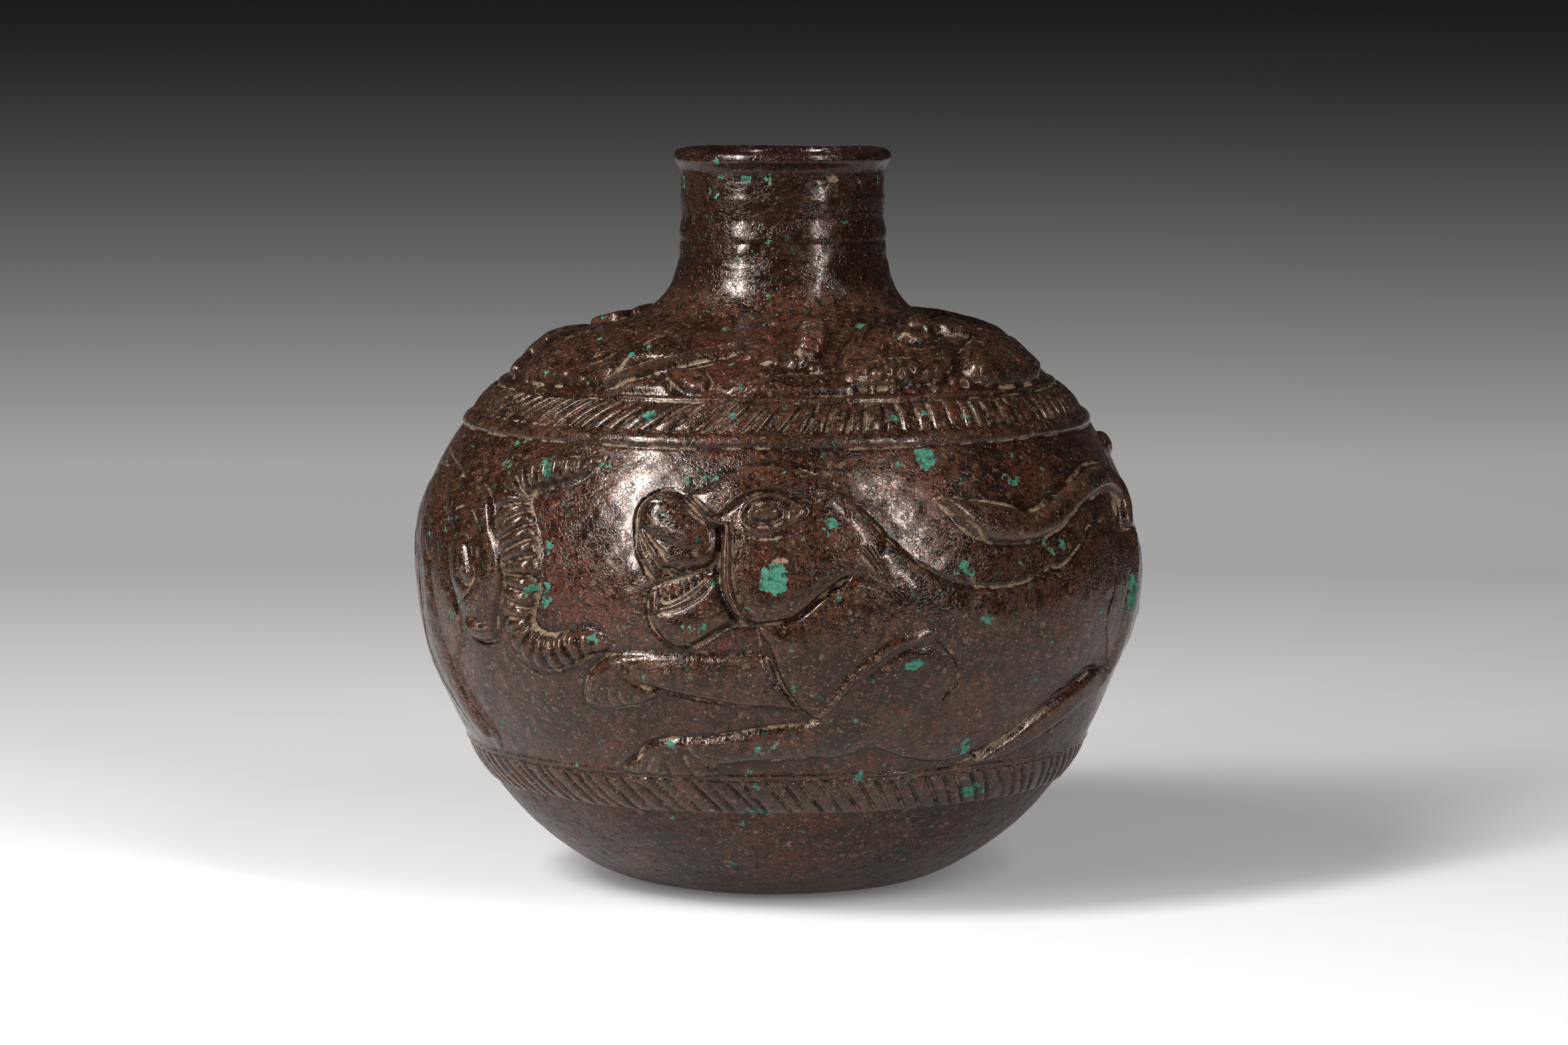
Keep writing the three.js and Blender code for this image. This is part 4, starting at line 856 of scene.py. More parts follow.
# Lumps: azimuth, height, width and how far they rise
SHOULDER_LUMPS = [
    (-11, 152.3, 4.2, 1.6), (-6.4, 150.4, 5.4, 1.1), (-1.4, 149.2, 5.4, 1.1), (4.3, 149, 6.6, 1.7),
    (8.8, 147.8, 5, 1.1), (18.4, 144.8, 4, 1), (21.4, 144, 4, 1.2), (24.6, 145, 4.2, 1.1),
    (27.6, 144.2, 4, 1.2), (30.6, 145.2, 4.2, 1.1), (33.8, 143.8, 4, 1.2), (37, 144.6, 4.2, 1.1),
    (40.2, 143.6, 4, 1), (19.8, 142.2, 3.6, 0.7), (24.4, 142.2, 3.6, 0.8), (29.4, 142, 3.6, 0.7),
    (34.8, 141.8, 3.6, 0.7), (43.9, 142.6, 5, 1.7), (48.4, 144.6, 5, 0.9), (-58, 143.4, 5, 0.8),
    (-64, 143, 5, 0.9), (-51, 143.2, 4.4, 0.7), (22, 149, 5, 0.8), (26, 150.6, 4.4, 0.9),
    (24, 147.6, 4, 0.7), (18.6, 151.6, 4, 0.7), (54, 155.4, 4, 0.8), (1.8, 153.6, 3.6, 0.7),
]

# Round spots: azimuth, height, width, how many times taller than wide, and for green how thick the crust is
GREEN_SPOTS = [
    (-0.3, 95, 10.5, 1.05, 1), (71.5, 84, 11, 1.5, 0.8), (33, 82, 6, 1, 0.7), (21, 72, 7, 0.6, 0.8),
    (33, 48, 10, 0.8, 0.6), (26, 125, 8, 1.3, 0.75), (-36, 100, 15, 0.6, 0.48), (-38, 88, 12, 0.9, 0.5),
    (-40, 120, 6, 1.4, 0.7), (-28, 78, 6, 0.8, 0.7), (-19, 90.5, 4, 1.2, 0.7), (-29, 123, 9, 0.7, 0.5),
    (-52, 122, 7, 1, 0.6), (-12, 82.4, 9, 0.5, 0.5), (8, 108, 8, 0.7, 0.45), (30, 96, 12, 0.6, 0.45),
    (48, 100, 14, 0.8, 0.45), (42, 118, 10, 0.6, 0.45), (14, 40, 12, 0.5, 0.5), (-4, 30, 12, 0.5, 0.5),
    (40, 34, 16, 0.5, 0.55), (-35.3, 147.8, 2.6, 1, 1), (-32.7, 149.7, 2.4, 1, 1),
    (-50.5, 150.4, 3, 1, 0.8), (33, 156.4, 9, 0.7, 0.8), (-24, 135, 6, 0.8, 0.6), (22, 134, 5, 1, 0.7),
    (-34, 197, 8, 0.5, 0.4), (-20, 201, 24, 0.12, 0.45), (100, 70, 10, 1.2, 0.7), (-120, 96, 14, 1.3, 0.6),
    (168, 60, 9, 1, 0.7),
]
EARTH_SPOTS = [
    (0.7, 99.3, 5.6, 0.35), (71, 107, 5.4, 1.5), (72, 155.6, 9, 0.35), (3, 20, 7, 0.5), (-6.5, 195, 2, 1.2),
    (33.6, 151.2, 4, 0.6), (4.5, 149.8, 2.6, 0.8), (-3, 148.5, 6, 0.3), (-76, 146.5, 2, 1),
    (-74, 142.4, 2, 1), (30, 199.6, 6, 0.6), (48, 197.6, 5, 0.8), (140, 110, 6, 1.4),
]
RED_SPOTS = [
    (-30, 88, 34, 1.2), (-62, 60, 30, 1.2), (-24, 120, 16, 0.5), (-10, 78, 20, 0.5), (22, 64, 16, 1),
    (0, 34, 60, 0.5), (50, 80, 18, 1), (-50, 34, 40, 0.5), (60, 30, 50, 0.5), (120, 90, 40, 1),
    (-14, 28.6, 26, 0.14), (14, 27.4, 22, 0.14), (-130, 70, 50, 1), (180, 30, 60, 0.5), (150, 120, 24, 1),
    (-95, 100, 20, 1),
]
BOSSES = [(-76, 146.5, 3.4, 1.3), (-74, 142.6, 3, 1.1), (16, 157.2, 3, 1.2), (-100, 100, 5, 1)]

# Hatched bands, one stroke for each drop of the punch
HATCH_STROKES = 108
UPPER_HATCH = {
    "slant": 7.2, "upright": 0.8, "foot": 0.62, "swell": 1.1,
    "depth": 1.0, "width": 0.52, "earth": 0.85,
}
LOWER_HATCH = {
    "slant": -5.6, "upright": -5.6, "foot": 0.0, "swell": 1.1,
    "depth": 1.0, "width": 0.48, "earth": 0.8,
}
# How far strokes stray sideways, in lean and in depth. Slanted ones stand up from one azimuth to another,
# each with the degrees that the change takes.
STROKE_JOG = 0.09
STROKE_LEAN = 0.1
STROKE_CUT = (0.7, 1.1)
STRAIGHT_FROM = (-15, 40)
STRAIGHT_UNTIL = (120, 50)
# The shares of a stroke's length over which it deepens
STROKE_FOOT = 0.1
STROKE_TOP = 0.14
CROWN_ROUNDING = 0.45
STROKE_BULGE = 0.45
EARTH_ROUNDING = 0.8
# What is left under a band of the figures' relief and earth
RELIEF_LEFT = 0.25
EARTH_LEFT = 0.5
RIDGE_SWELL = 1.2
RIDGE_TOP = 0.5
LINE_SWELL = 0.6
# Turned lines: height, depth, width and share of earth
RING_LINES = (
    (UPPER_LINE_BOTTOM, 0.2, 0.4, 0.6),
    (LOWER_LINE_BOTTOM, 0.2, 0.4, 0.45),
    (RIDGE_BOTTOM, 0.35, 0.45, 0.35),
)
NECK_LINES = (184.8, 178.4, 173.6)
NECK_LINE = (0.12, 1.0, 0.0)
# Swellings of the neck: height, half width and how far they rise
NECK_SWELLS = ((189.4, 3.8, 0.5), (181.4, 2.6, 0.28), (170.8, 3.6, 0.25))
# Marks left by turning the neck: how deep, from which height, and over how much more they come in
TURNING_MARKS = 0.05
MARKS_FROM = 164
MARKS_FADE = 8

# How wide lines are drawn, and how much earth they hold
LINE_WIDTH = 0.68
FRIEZE_EARTH = 0.75
SHOULDER_EARTH = 0.8
SHOULDER_RISE = 1.5
LUMP_SPREAD = 1.15
LUMP_RISE = 0.9


def comb(row):
    """Short strokes side by side, such as teeth or hair, from one place to another"""
    for t in np.linspace(0, 1, row["count"]):
        foot = np.array(row["from"]) * (1 - t) + np.array(row["to"]) * t
        lean_over = np.array(row["lean"])
        yield row["depth"], row["width"], [tuple(foot + share * lean_over) for share in (0, 0.5, 1)]


def draw(board, place, forms=(), cords=(), ribbed=(), lines=(), rise=1.0, earth=FRIEZE_EARTH):
    for outline, height, shoulder in forms:
        board.mound(place(outline), rise * height, shoulder)
    for spine, height in cords:
        board.cord(place(spine), rise * height)
    for spine, height, ribs in ribbed:
        board.ribbed(place(spine), rise * height, ribs)
    for height, width, drawn in lines:
        board.line(place(drawn), height, LINE_WIDTH * width, earth=earth)


FRONT = Place()
BACK = Place(turn=HALF_TURN)
RIGHT = Place(mirror=MASK_MIRROR)
FIGURES = {
    "front_beast": (BEAST_PARTS, FRONT),
    "back_beast": (BEAST_PARTS, BACK),
    "left_mask": (MASK_PARTS, FRONT),
    "right_mask": (MASK_PARTS, RIGHT),
    "front": (SHOULDER_PARTS, FRONT),
    "back": (SHOULDER_PARTS, BACK),
}
# The mask beyond the right limb is flatter than the one at the left
RIGHT_MASK_SHARE = 0.65


def draw_frieze(board, rise):
    for place, share in ((FRONT, 1.0), (RIGHT, RIGHT_MASK_SHARE)):
        draw(board, place, MASK_FORMS, MASK_CORDS, rise=share * rise)
    for place in (FRONT, BACK):
        draw(board, place, BEAST_FORMS, BEAST_CORDS, rise=rise)
    for place, share in ((FRONT, 1.0), (RIGHT, RIGHT_MASK_SHARE)):
        draw(board, place, ribbed=MANE_CORDS, lines=MASK_LINES + MANE_EDGES, rise=share * rise)
    for place in (FRONT, BACK):
        draw(board, place, lines=BEAST_LINES + list(comb(TEETH)), rise=rise)


def draw_shoulder(board, rise):
    for place in (FRONT, BACK):
        draw(board, place, SHOULDER_FORMS, SHOULDER_CORDS, SHOULDER_RIBBED, rise=SHOULDER_RISE * rise)
        draw(board, place, lines=SHOULDER_LINES, earth=SHOULDER_EARTH)
        for azimuth, height, across, swelling in SHOULDER_LUMPS:
            board.dab(azimuth + place.turn, height, LUMP_SPREAD * across, rise=LUMP_RISE * rise * swelling)


def claim_figures(board):
    for figure, (parts, place) in FIGURES.items():
        for name, drawn in parts.items():
            claim = board.claim_inset if name == "eye" else board.claim
            claim(f"{figure}_{name}", place(drawn))


def ring_rows(board, low, high):
    """The rows of a ring between two heights, and the share of its width that lies below each"""
    start, end = WALL.arc_at(low), WALL.arc_at(high)
    rows = np.nonzero((board.arc >= start - TINY) & (board.arc <= end + TINY))[0]
    return rows, ((board.arc[rows] - start) / (end - start))[:, None]


def hatch(board, low, high, band, depth, rng):
    """Slanted strokes in a ring, no two quite alike, on a swollen strip"""
    rows, share = ring_rows(board, low, high)
    pitch = 360 / HATCH_STROKES
    jog = rng.normal(0, STROKE_JOG, HATCH_STROKES)
    turn = rng.normal(0, STROKE_LEAN, HATCH_STROKES)
    cut = rng.uniform(*STROKE_CUT, HATCH_STROKES)
    (first, over), (last, back) = STRAIGHT_FROM, STRAIGHT_UNTIL
    leaning = 1 - ease((board.azimuth - first) / over) + ease((board.azimuth - last) / back)
    slant = band["upright"] + (band["slant"] - band["upright"]) * leaning
    place = (board.azimuth[None, :] - slant * (share - 0.5)) / pitch
    stroke = np.round(place).astype(int) % HATCH_STROKES
    aside = (place - np.round(place)) - jog[stroke] - turn[stroke] * (share - 0.5)
    gap = np.abs(aside) * pitch * board.per_degree[rows][:, None]
    ends = ease(share / STROKE_FOOT + 0.1) * ease((1 - share) / STROKE_TOP)
    groove = np.exp(-((gap / band["width"]) ** 2)) * ends
    crown = (4 * share * (1 - share)) ** CROWN_ROUNDING
    crown = np.where(share < 0.5, np.maximum(crown, band["foot"]), crown)
    board.relief[rows] = np.maximum(board.relief[rows] * RELIEF_LEFT * crown, 0) + band["swell"] * crown
    board.relief[rows] -= depth * band["depth"] * cut[stroke] * groove
    away = np.minimum(np.abs(aside), 0.5)
    board.relief[rows] += STROKE_BULGE * (4 * away * (1 - away) - 1) * crown
    held = band["earth"] * groove**EARTH_ROUNDING * cut[stroke]
    board.deposit[rows] = np.maximum(board.deposit[rows] * EARTH_LEFT, held)


def bead_ring(board, low, high, height, top=0.0):
    """A rounded ridge round the jar, which keeps a share of its height at its top edge"""
    rows, share = ring_rows(board, low, high)
    round_off = (4 * share * (1 - share)) ** 0.5
    kept = np.where(share > 0.5, np.maximum(round_off, top), round_off)
    board.relief[rows] = height * kept + 0 * board.relief[rows]


def ring_line(board, height, depth, width, earth):
    """A turned line right round the jar at one height"""
    gap = np.abs(board.arc - WALL.arc_at(height))[:, None]
    profile = np.exp(-((gap / width) ** 2))
    board.relief -= depth * profile
    board.deposit = np.maximum(board.deposit, earth * profile)


def draw_bands(board, hatch_depth, rng):
    bead_ring(board, RIDGE_BOTTOM, UPPER_HATCH_BOTTOM, RIDGE_SWELL, RIDGE_TOP)
    bead_ring(board, UPPER_LINE_BOTTOM, SHOULDER_BOTTOM, LINE_SWELL)
    bead_ring(board, LOWER_LINE_BOTTOM, FRIEZE_BOTTOM, LINE_SWELL)
    hatch(board, UPPER_HATCH_BOTTOM, UPPER_LINE_BOTTOM, UPPER_HATCH, hatch_depth, rng)
    hatch(board, LOWER_HATCH_BOTTOM, LOWER_LINE_BOTTOM, LOWER_HATCH, hatch_depth, rng)
    for line in RING_LINES:
        ring_line(board, *line)


def draw_neck(board, rng):
    for height in NECK_LINES:
        ring_line(board, height, *NECK_LINE)
    for height, half, swelling in NECK_SWELLS:
        board.relief += swelling * np.exp(-(((board.arc - WALL.arc_at(height)) / half) ** 2))[:, None]
    marks = np.convolve(rng.normal(0, TURNING_MARKS, len(board.arc)), (0.25, 0.5, 0.25), "same")
    board.relief += (marks * ease((board.height - MARKS_FROM) / MARKS_FADE))[:, None]


def unevenness(points, wavelength, rng, waves=28):
    """A smooth random swelling over points, about 1 high at the most"""
    total = np.zeros(points.shape[:-1])
    for _ in range(waves):
        direction = rng.normal(size=3)
        direction *= 2 * math.pi / (wavelength * rng.uniform(0.7, 1.5) * np.linalg.norm(direction))
        total += np.sin(points @ direction + rng.uniform(0, 2 * math.pi))
    return total / math.sqrt(2 * waves)


def blurred(field, width):
    """A field on the board's grid softened by a width in grid steps"""
    reach = int(3 * width)
    weights = np.exp(-0.5 * (np.arange(-reach, reach + 1) / width) ** 2)
    weights /= weights.sum()
    soft = np.zeros_like(field)
    for shift, weight in zip(range(-reach, reach + 1), weights):
        soft += weight * np.roll(field, shift, axis=1)
    padded = np.pad(soft, ((reach, reach), (0, 0)), mode="edge")
    return sum(weight * padded[i : i + len(field)] for i, weight in enumerate(weights))


COLUMNS_PER_STROKE = 12
COLUMNS = HATCH_STROKES * COLUMNS_PER_STROKE
FIRST_ARC = 1.5
COARSE_STEP = 1.4
FINE_STEP = 0.5
FINE_FROM = 26.0
RINGS = [
    ("lower_hatched_band", LOWER_HATCH_BOTTOM, LOWER_LINE_BOTTOM),
    ("lower_line", LOWER_LINE_BOTTOM, FRIEZE_BOTTOM),
    ("upper_ridge", RIDGE_BOTTOM, UPPER_HATCH_BOTTOM),
    ("upper_hatched_band", UPPER_HATCH_BOTTOM, UPPER_LINE_BOTTOM),
    ("upper_line", UPPER_LINE_BOTTOM, SHOULDER_BOTTOM),
]
WALLS = {"foot_bowl": "foot", "belly_wall": "wall", "shoulder_dome": "wall", "neck_sleeve": "wall"}
BOWL_JOINT = 34.5
DOME_JOINT = 134.0
# The cast wall's long and short waves: how high and how long
LONG_WAVES = (0.3, 34)
SHORT_WAVES = (0.07, 5.5)
# Earth gathers where the face lies below its own blurred copy, and the face wears where it stands above it
HOLLOW_BLUR = 2.2
EARTH_FROM = 0.16
EARTH_OVER = 0.4
HOLLOW_EARTH = 0.75
WEAR_FROM = 0.05
WEAR_OVER = 0.35
# The colour is darker on the neck, and painted shade darkens the wider hollows round the figures
NECK_DARK_FROM = 163
NECK_DARK_OVER = 6
NECK_DARKENING = 0.85
# Painted shade round the figures: its blur, where it starts, over how much it grows, and its strength
WIDE_BLUR = 5
WIDE_FROM = 0.1
WIDE_OVER = 0.6
PAINTED_SHADE_ROUND_FIGURES = 0.8
CRUST_PIT = 0.1
EARTH_BUMP = 0.08
# The relief fades in over this length from the foot's edge
FOOT_FADE = 12
# Red oxide: its share everywhere, how far and in what waves that drifts, and its share in the red spots
RED_GROUND = 0.28
RED_DRIFT = 0.45
RED_WAVE = 40
RED_IN_SPOTS = 0.75


def row_arcs():
    """Lengths along the wall of the board's rows, with a row at each height where one piece ends"""
    stops = [FINE_FROM, LOWER_HATCH_BOTTOM, BOWL_JOINT, LOWER_LINE_BOTTOM, FRIEZE_BOTTOM, RIDGE_BOTTOM]
    stops += [UPPER_HATCH_BOTTOM, DOME_JOINT, UPPER_LINE_BOTTOM, SHOULDER_BOTTOM]
    stops += [NECK_BOTTOM, NECK_TOP_HEIGHT]
    arcs = [FIRST_ARC] + [float(WALL.arc_at(h)) for h in stops] + [float(WALL.arc[-1])]
    rows = []
    for start, end in zip(arcs, arcs[1:]):
        step = COARSE_STEP if start == FIRST_ARC else FINE_STEP
        rows.extend(np.linspace(start, end, math.ceil((end - start) / step), endpoint=False))
    return np.array(rows + [arcs[-1]])


def claim_bands(board):
    """Takes the bands' rings from the figures and gives them to the bands"""
    in_bands = np.zeros(len(board.arc), bool)
    for _, low, high in RINGS:
        in_bands |= (board.height >= low - TINY) & (board.height < high - TINY)
    board.owner[in_bands] = 0
    for name, low, high in RINGS:
        board.claim_ring(name, low, high)


def weather(board, figures):
    """Earth in the hollows, wear on the heights, a darker neck, and painted shade in the wider hollows round
    the figures
    """
    hollow = blurred(figures, HOLLOW_BLUR) - figures
    board.deposit = np.maximum(board.deposit, HOLLOW_EARTH * ease((hollow - EARTH_FROM) / EARTH_OVER))
    board.wear = ease((-hollow - WEAR_FROM) / WEAR_OVER)
    on_neck = ease((board.height - NECK_DARK_FROM) / NECK_DARK_OVER)[:, None]
    # Painted shade: the wider hollows round the figures are darkened where shadow would fall
    shade_round_figures = ease((blurred(figures, WIDE_BLUR) - figures - WIDE_FROM) / WIDE_OVER)
    board.soot = np.maximum(NECK_DARKENING * on_neck, PAINTED_SHADE_ROUND_FIGURES * shade_round_figures)


def spot(board):
    """The larger spots of verdigris, red oxide and earth"""
    for azimuth, height, across, tall, thick in GREEN_SPOTS:
        board.dab(azimuth, height, across, green=thick, tall=tall, rise=-CRUST_PIT * thick)
    for azimuth, height, across, tall in RED_SPOTS:
        board.dab(azimuth, height, across, red=1.0, tall=tall)
    for azimuth, height, across, tall in EARTH_SPOTS:
        board.dab(azimuth, height, across, earth=1.0, tall=tall, rise=EARTH_BUMP)


@functools.lru_cache(maxsize=1)
def carved_board(rise, hatch_depth, uneven):
    """The whole jar's face with its relief, earth and crust, and the piece that each place belongs to"""
    rng = np.random.default_rng(SEED)
    board = Board(row_arcs(), COLUMNS)
    claim_figures(board)
    claim_bands(board)
    draw_frieze(board, rise)
    draw_shoulder(board, rise)
    for azimuth, height, across, tall in BOSSES:
        board.dab(azimuth, height, across, rise=tall)
    draw_bands(board, hatch_depth, rng)
    draw_neck(board, rng)
    points = board.points(0)
    figures = board.relief.copy()
    (high, long), (low, short) = LONG_WAVES, SHORT_WAVES
    board.relief += uneven * (high * unevenness(points, long, rng) + low * unevenness(points, short, rng))
    weather(board, figures)
    spot(board)
    board.relief *= ease((board.arc - FOOT_RADIUS) / FOOT_FADE)[:, None]
    board.skin = board.points(board.relief)
    board.skin_normals = board.normals(board.skin)
    return board


# The fifth value darkens the neck and holds painted shade round the figures
VALUES = ("deposit", "verdigris", "wear", "cuprite", "soot")
HIDDEN_VALUES = (0.25, 0.08, 0.0, 0.1, 0.3)
INNER_ROW_STEP = 8
# The bake map: the face's strips lie below this height, and the inner side's band above it
ATLAS_TOP = 0.95
SIDE_MARGIN = 0.005
FOOT_MARGIN = 0.003
STRIP_FILL = 0.99


class Body:
    """Collects the points and faces of one closed body, and makes it a mesh object."""

    def __init__(self):
        self.points, self.normals, self.values = [], [], []
        self.faces, self.places = [], []
        self.count = 0

    def add_points(self, points, normals, values):
        first = self.count
        self.points.append(points)
        self.normals.append(normals)
        self.values.append(np.broadcast_to(values, (len(points), len(VALUES))))
        self.count += len(points)
        return first

    def add_faces(self, faces, places=None):
        """Faces with as many corners each, and their corners' places in the bake map"""
        if places is None:
            places = np.full(faces.shape + (2,), 0.5)
            places[..., 1] = 0.5 * (1 + ATLAS_TOP)
        self.faces.append(faces)
        self.places.append(places)

    def object(self, name):
        points = np.concatenate(self.points) * MM
        sizes = np.concatenate([np.full(len(f), f.shape[1]) for f in self.faces])
        corners = np.concatenate([f.ravel() for f in self.faces])
        mesh = bpy.data.meshes.new(name)
        mesh.vertices.add(len(points))
        mesh.vertices.foreach_set("co", points.astype(np.float32).ravel())
        mesh.loops.add(len(corners))
        mesh.loops.foreach_set("vertex_index", corners.astype(np.int32))
        mesh.polygons.add(len(sizes))
        starts = np.concatenate([[0], np.cumsum(sizes)[:-1]])
        mesh.polygons.foreach_set("loop_start", starts.astype(np.int32))
        mesh.polygons.foreach_set("use_smooth", np.ones(len(sizes), bool))
        mesh.update(calc_edges=True)
        places = np.concatenate([p.reshape(-1, 2) for p in self.places])
        mesh.uv_layers.new(name="OFBake").data.foreach_set("uv", places.astype(np.float32).ravel())
        values = np.concatenate(self.values)
        for i, value in enumerate(VALUES):
            layer = mesh.attributes.new(value, "FLOAT", "POINT")
            layer.data.foreach_set("value", values[:, i].astype(np.float32))
        mesh.normals_split_custom_set_from_vertices(np.concatenate(self.normals).astype(np.float32))
        piece = bpy.data.objects.new(name, mesh)
        bpy.context.scene.collection.objects.link(piece)
        return piece


def bake_places(board, rows, columns):
    """Where faces of the board lie in the bake map: cut into even strips, stacked to fill a square"""
    turns = np.exp(2j * np.pi * columns / board.columns).sum()
    middle = int(np.angle(turns) / (2 * np.pi) * board.columns) if abs(turns) > 1 else board.columns // 2
    across = (columns - middle + board.columns // 2) % board.columns
    across = across - across.min()
    up = rows - rows.min()
    wide, tall = across.max() + 1, up.max() + 1
    strips = max(1, round(math.sqrt(wide / tall)))
    length = math.ceil(wide / strips)
    strip = across // length
    u = ((across % length)[:, None] + np.array([0, 1, 1, 0])) / length
    v = (strip[:, None] + STRIP_FILL * (up[:, None] + np.array([0, 0, 1, 1])) / tall) / strips
    u = SIDE_MARGIN + (1 - 2 * SIDE_MARGIN) * u
    return np.stack([u, FOOT_MARGIN + (ATLAS_TOP - 2 * FOOT_MARGIN) * v], axis=2)


def corners_of(board, rows, columns):
    """Grid numbers of the corners of faces, turning so that the faces look out of the jar"""
    right = (columns + 1) % board.columns
    here, above = rows * board.columns, (rows + 1) * board.columns
    return np.stack([here + columns, here + right, above + right, above + columns], axis=1)


def grid_values(board, ids):
    return np.stack([getattr(board, value).ravel()[ids] for value in VALUES], axis=1)


def seated_piece(board, name):
    """A figure or a band: its carved face, a seat under it that follows the wall, and sides between"""
    mine = board.owner[:-1] == board.names.index(name) + 1
    rows, columns = np.nonzero(mine)
    if not rows.size:
        raise RuntimeError(f"no part of the wall belongs to {name}")
    corners = corners_of(board, rows, columns)
    used, local = np.unique(corners, return_inverse=True)
    local = local.reshape(-1, 4)
    body = Body()
    values = grid_values(board, used)
    body.add_points(board.skin.reshape(-1, 3)[used], board.skin_normals.reshape(-1, 3)[used], values)
    body.add_points(board.seat.reshape(-1, 3)[used], -board.flat.reshape(-1, 3)[used], HIDDEN_VALUES)
    body.add_faces(local, bake_places(board, rows, columns))
    body.add_faces(local[:, ::-1] + len(used))
    below, above = np.pad(mine[:-1], ((1, 0), (0, 0))), np.pad(mine[1:], ((0, 1), (0, 0)))
    beside = (below, np.roll(mine, -1, axis=1), above, np.roll(mine, 1, axis=1))
    for edge, neighbour in enumerate(beside):
        open_edge = ~neighbour[rows, columns]
        a, b = local[open_edge, edge], local[open_edge, (edge + 1) % 4]
        body.add_faces(np.stack([b, a, a + len(used), b + len(used)], axis=1))
    return body.object(f"cast_{name}")


def wall_shell(board, name, low, high):
    """A ring of the wall between two rows: its face, a bed under each figure, and its smooth inner side"""
    columns = np.arange(board.columns)
    right = (columns + 1) % board.columns
    body = Body()
    span = slice(low, high + 1)
    outside = np.where(board.bare[span, :, None], board.skin[span], board.bed[span])
    ids = np.arange(low * board.columns, (high + 1) * board.columns)
    body.add_points(outside.reshape(-1, 3), board.skin_normals[span].reshape(-1, 3), grid_values(board, ids))
    face_rows, face_columns = (g.ravel() for g in np.mgrid[low:high, 0 : board.columns])
    corners = corners_of(board, face_rows, face_columns) - low * board.columns
    body.add_faces(corners, bake_places(board, face_rows, face_columns))
    bottom, top = columns, (high - low) * board.columns + columns
    if name == "rolled_rim":
        body.add_faces(np.stack([bottom[right], bottom, top, top[right]], axis=1))
        return body.object(f"cast_{name}")
    rows = sorted(set(range(low, high, INNER_ROW_STEP)) | {high})
    inside, flat = board.inside[rows].reshape(-1, 3), board.flat[rows].reshape(-1, 3)
    first = body.add_points(inside, -flat, HIDDEN_VALUES)
    inner = first + np.arange(len(rows) * board.columns).reshape(len(rows), board.columns)
    strips = np.stack([inner[:-1], inner[1:], inner[1:][:, right], inner[:-1][:, right]], axis=2)
    body.add_faces(strips.reshape(-1, 4), inner_places(len(rows) - 1, board.columns))
    if low == 0:
        body.add_faces(bottom[None, ::-1])
        body.add_faces(inner[:1])
    else:
        body.add_faces(np.stack([bottom[right], bottom, inner[0], inner[0][right]], axis=1))
    body.add_faces(np.stack([top, top[right], inner[-1][right], inner[-1]], axis=1))
    return body.object(f"cast_{name}")


def inner_places(rows, columns):
    """The inner side's place in the bake map, in a band above the face's strips"""
    v = np.repeat(np.arange(rows), columns)[:, None] + np.array([0, 1, 1, 0])
    u = np.tile(np.arange(columns), rows)[:, None] + np.array([0, 0, 1, 1])
    return np.stack([u / columns, ATLAS_TOP + (1 - SIDE_MARGIN - ATLAS_TOP) * v / rows], axis=2)


def finish_board(board):
    """Works out where the wall shows, the seats and beds of the pieces, and the wall's inner side"""
    free = board.owner[:-1] == 0
    touching = free | np.roll(free, 1, axis=1)
    board.bare = np.pad(touching, ((0, 1), (0, 0))) | np.pad(touching, ((1, 0), (0, 0)))
    board.flat = board.flat_normals()
    board.seat = board.points(-SEAT_DEPTH)
    board.bed = board.points(-BED_DEPTH)
    board.inside = board.points(-WALL_THICKNESS)
    drift = unevenness(board.skin, RED_WAVE, np.random.default_rng(SEED + 1))
    board.cuprite = np.clip(RED_GROUND + RED_DRIFT * drift + RED_IN_SPOTS * board.redness, 0, 1)


def new_group(name, inputs, outputs):
    """An empty shader node group with float sockets, and its input and output nodes"""
    group = bpy.data.node_groups.new(name, "ShaderNodeTree")
    for socket, default in inputs.items():
        made = group.interface.new_socket(socket, in_out="INPUT", socket_type="NodeSocketFloat")
        made.default_value = default
    for socket in outputs:
        group.interface.new_socket(socket, in_out="OUTPUT", socket_type="NodeSocketFloat")
    return group, group.nodes.new("NodeGroupInput"), group.nodes.new("NodeGroupOutput")


def add(tree, kind, inputs=None, **settings):
    """Adds a node with its settings, and with values or other nodes' outputs in its inputs"""
    made = tree.nodes.new(kind)
    for setting, value in settings.items():
        setattr(made, setting, value)
    for socket, value in (inputs or {}).items():
        if isinstance(value, bpy.types.NodeSocket):
            tree.links.new(value, made.inputs[socket])
        else:
            made.inputs[socket].default_value = value
    return made


def maths(tree, operation, a, b=0.0, clamp=False):
    made = add(tree, "ShaderNodeMath", {0: a, 1: b}, operation=operation, use_clamp=clamp)
    return made.outputs[0]


def times(tree, a, b):
    return maths(tree, "MULTIPLY", a, b)


def vectors(tree, operation, inputs):
    return add(tree, "ShaderNodeVectorMath", inputs, operation=operation).outputs[0]


def own_place(tree):
    """Places in the object's own space, in metres"""
    return add(tree, "ShaderNodeTexCoord").outputs["Object"]


def ramp(tree, value, low, high, floor=0.0, ceiling=1.0, kind="SMOOTHSTEP"):
    """Runs from floor to ceiling as a value goes from low to high"""
    given = {"Value": value, "From Min": low, "From Max": high, "To Min": floor, "To Max": ceiling}
    return add(tree, "ShaderNodeMapRange", given, interpolation_type=kind).outputs["Result"]


def straight(tree, value, low, high, floor, ceiling):
    return ramp(tree, value, low, high, floor, ceiling, "LINEAR")


def mixed(tree, share, a, b):
    """One colour laid over another"""
    given = {"Factor": share, 6: a, 7: b}
    return add(tree, "ShaderNodeMix", given, data_type="RGBA", clamp_factor=True).outputs[2]


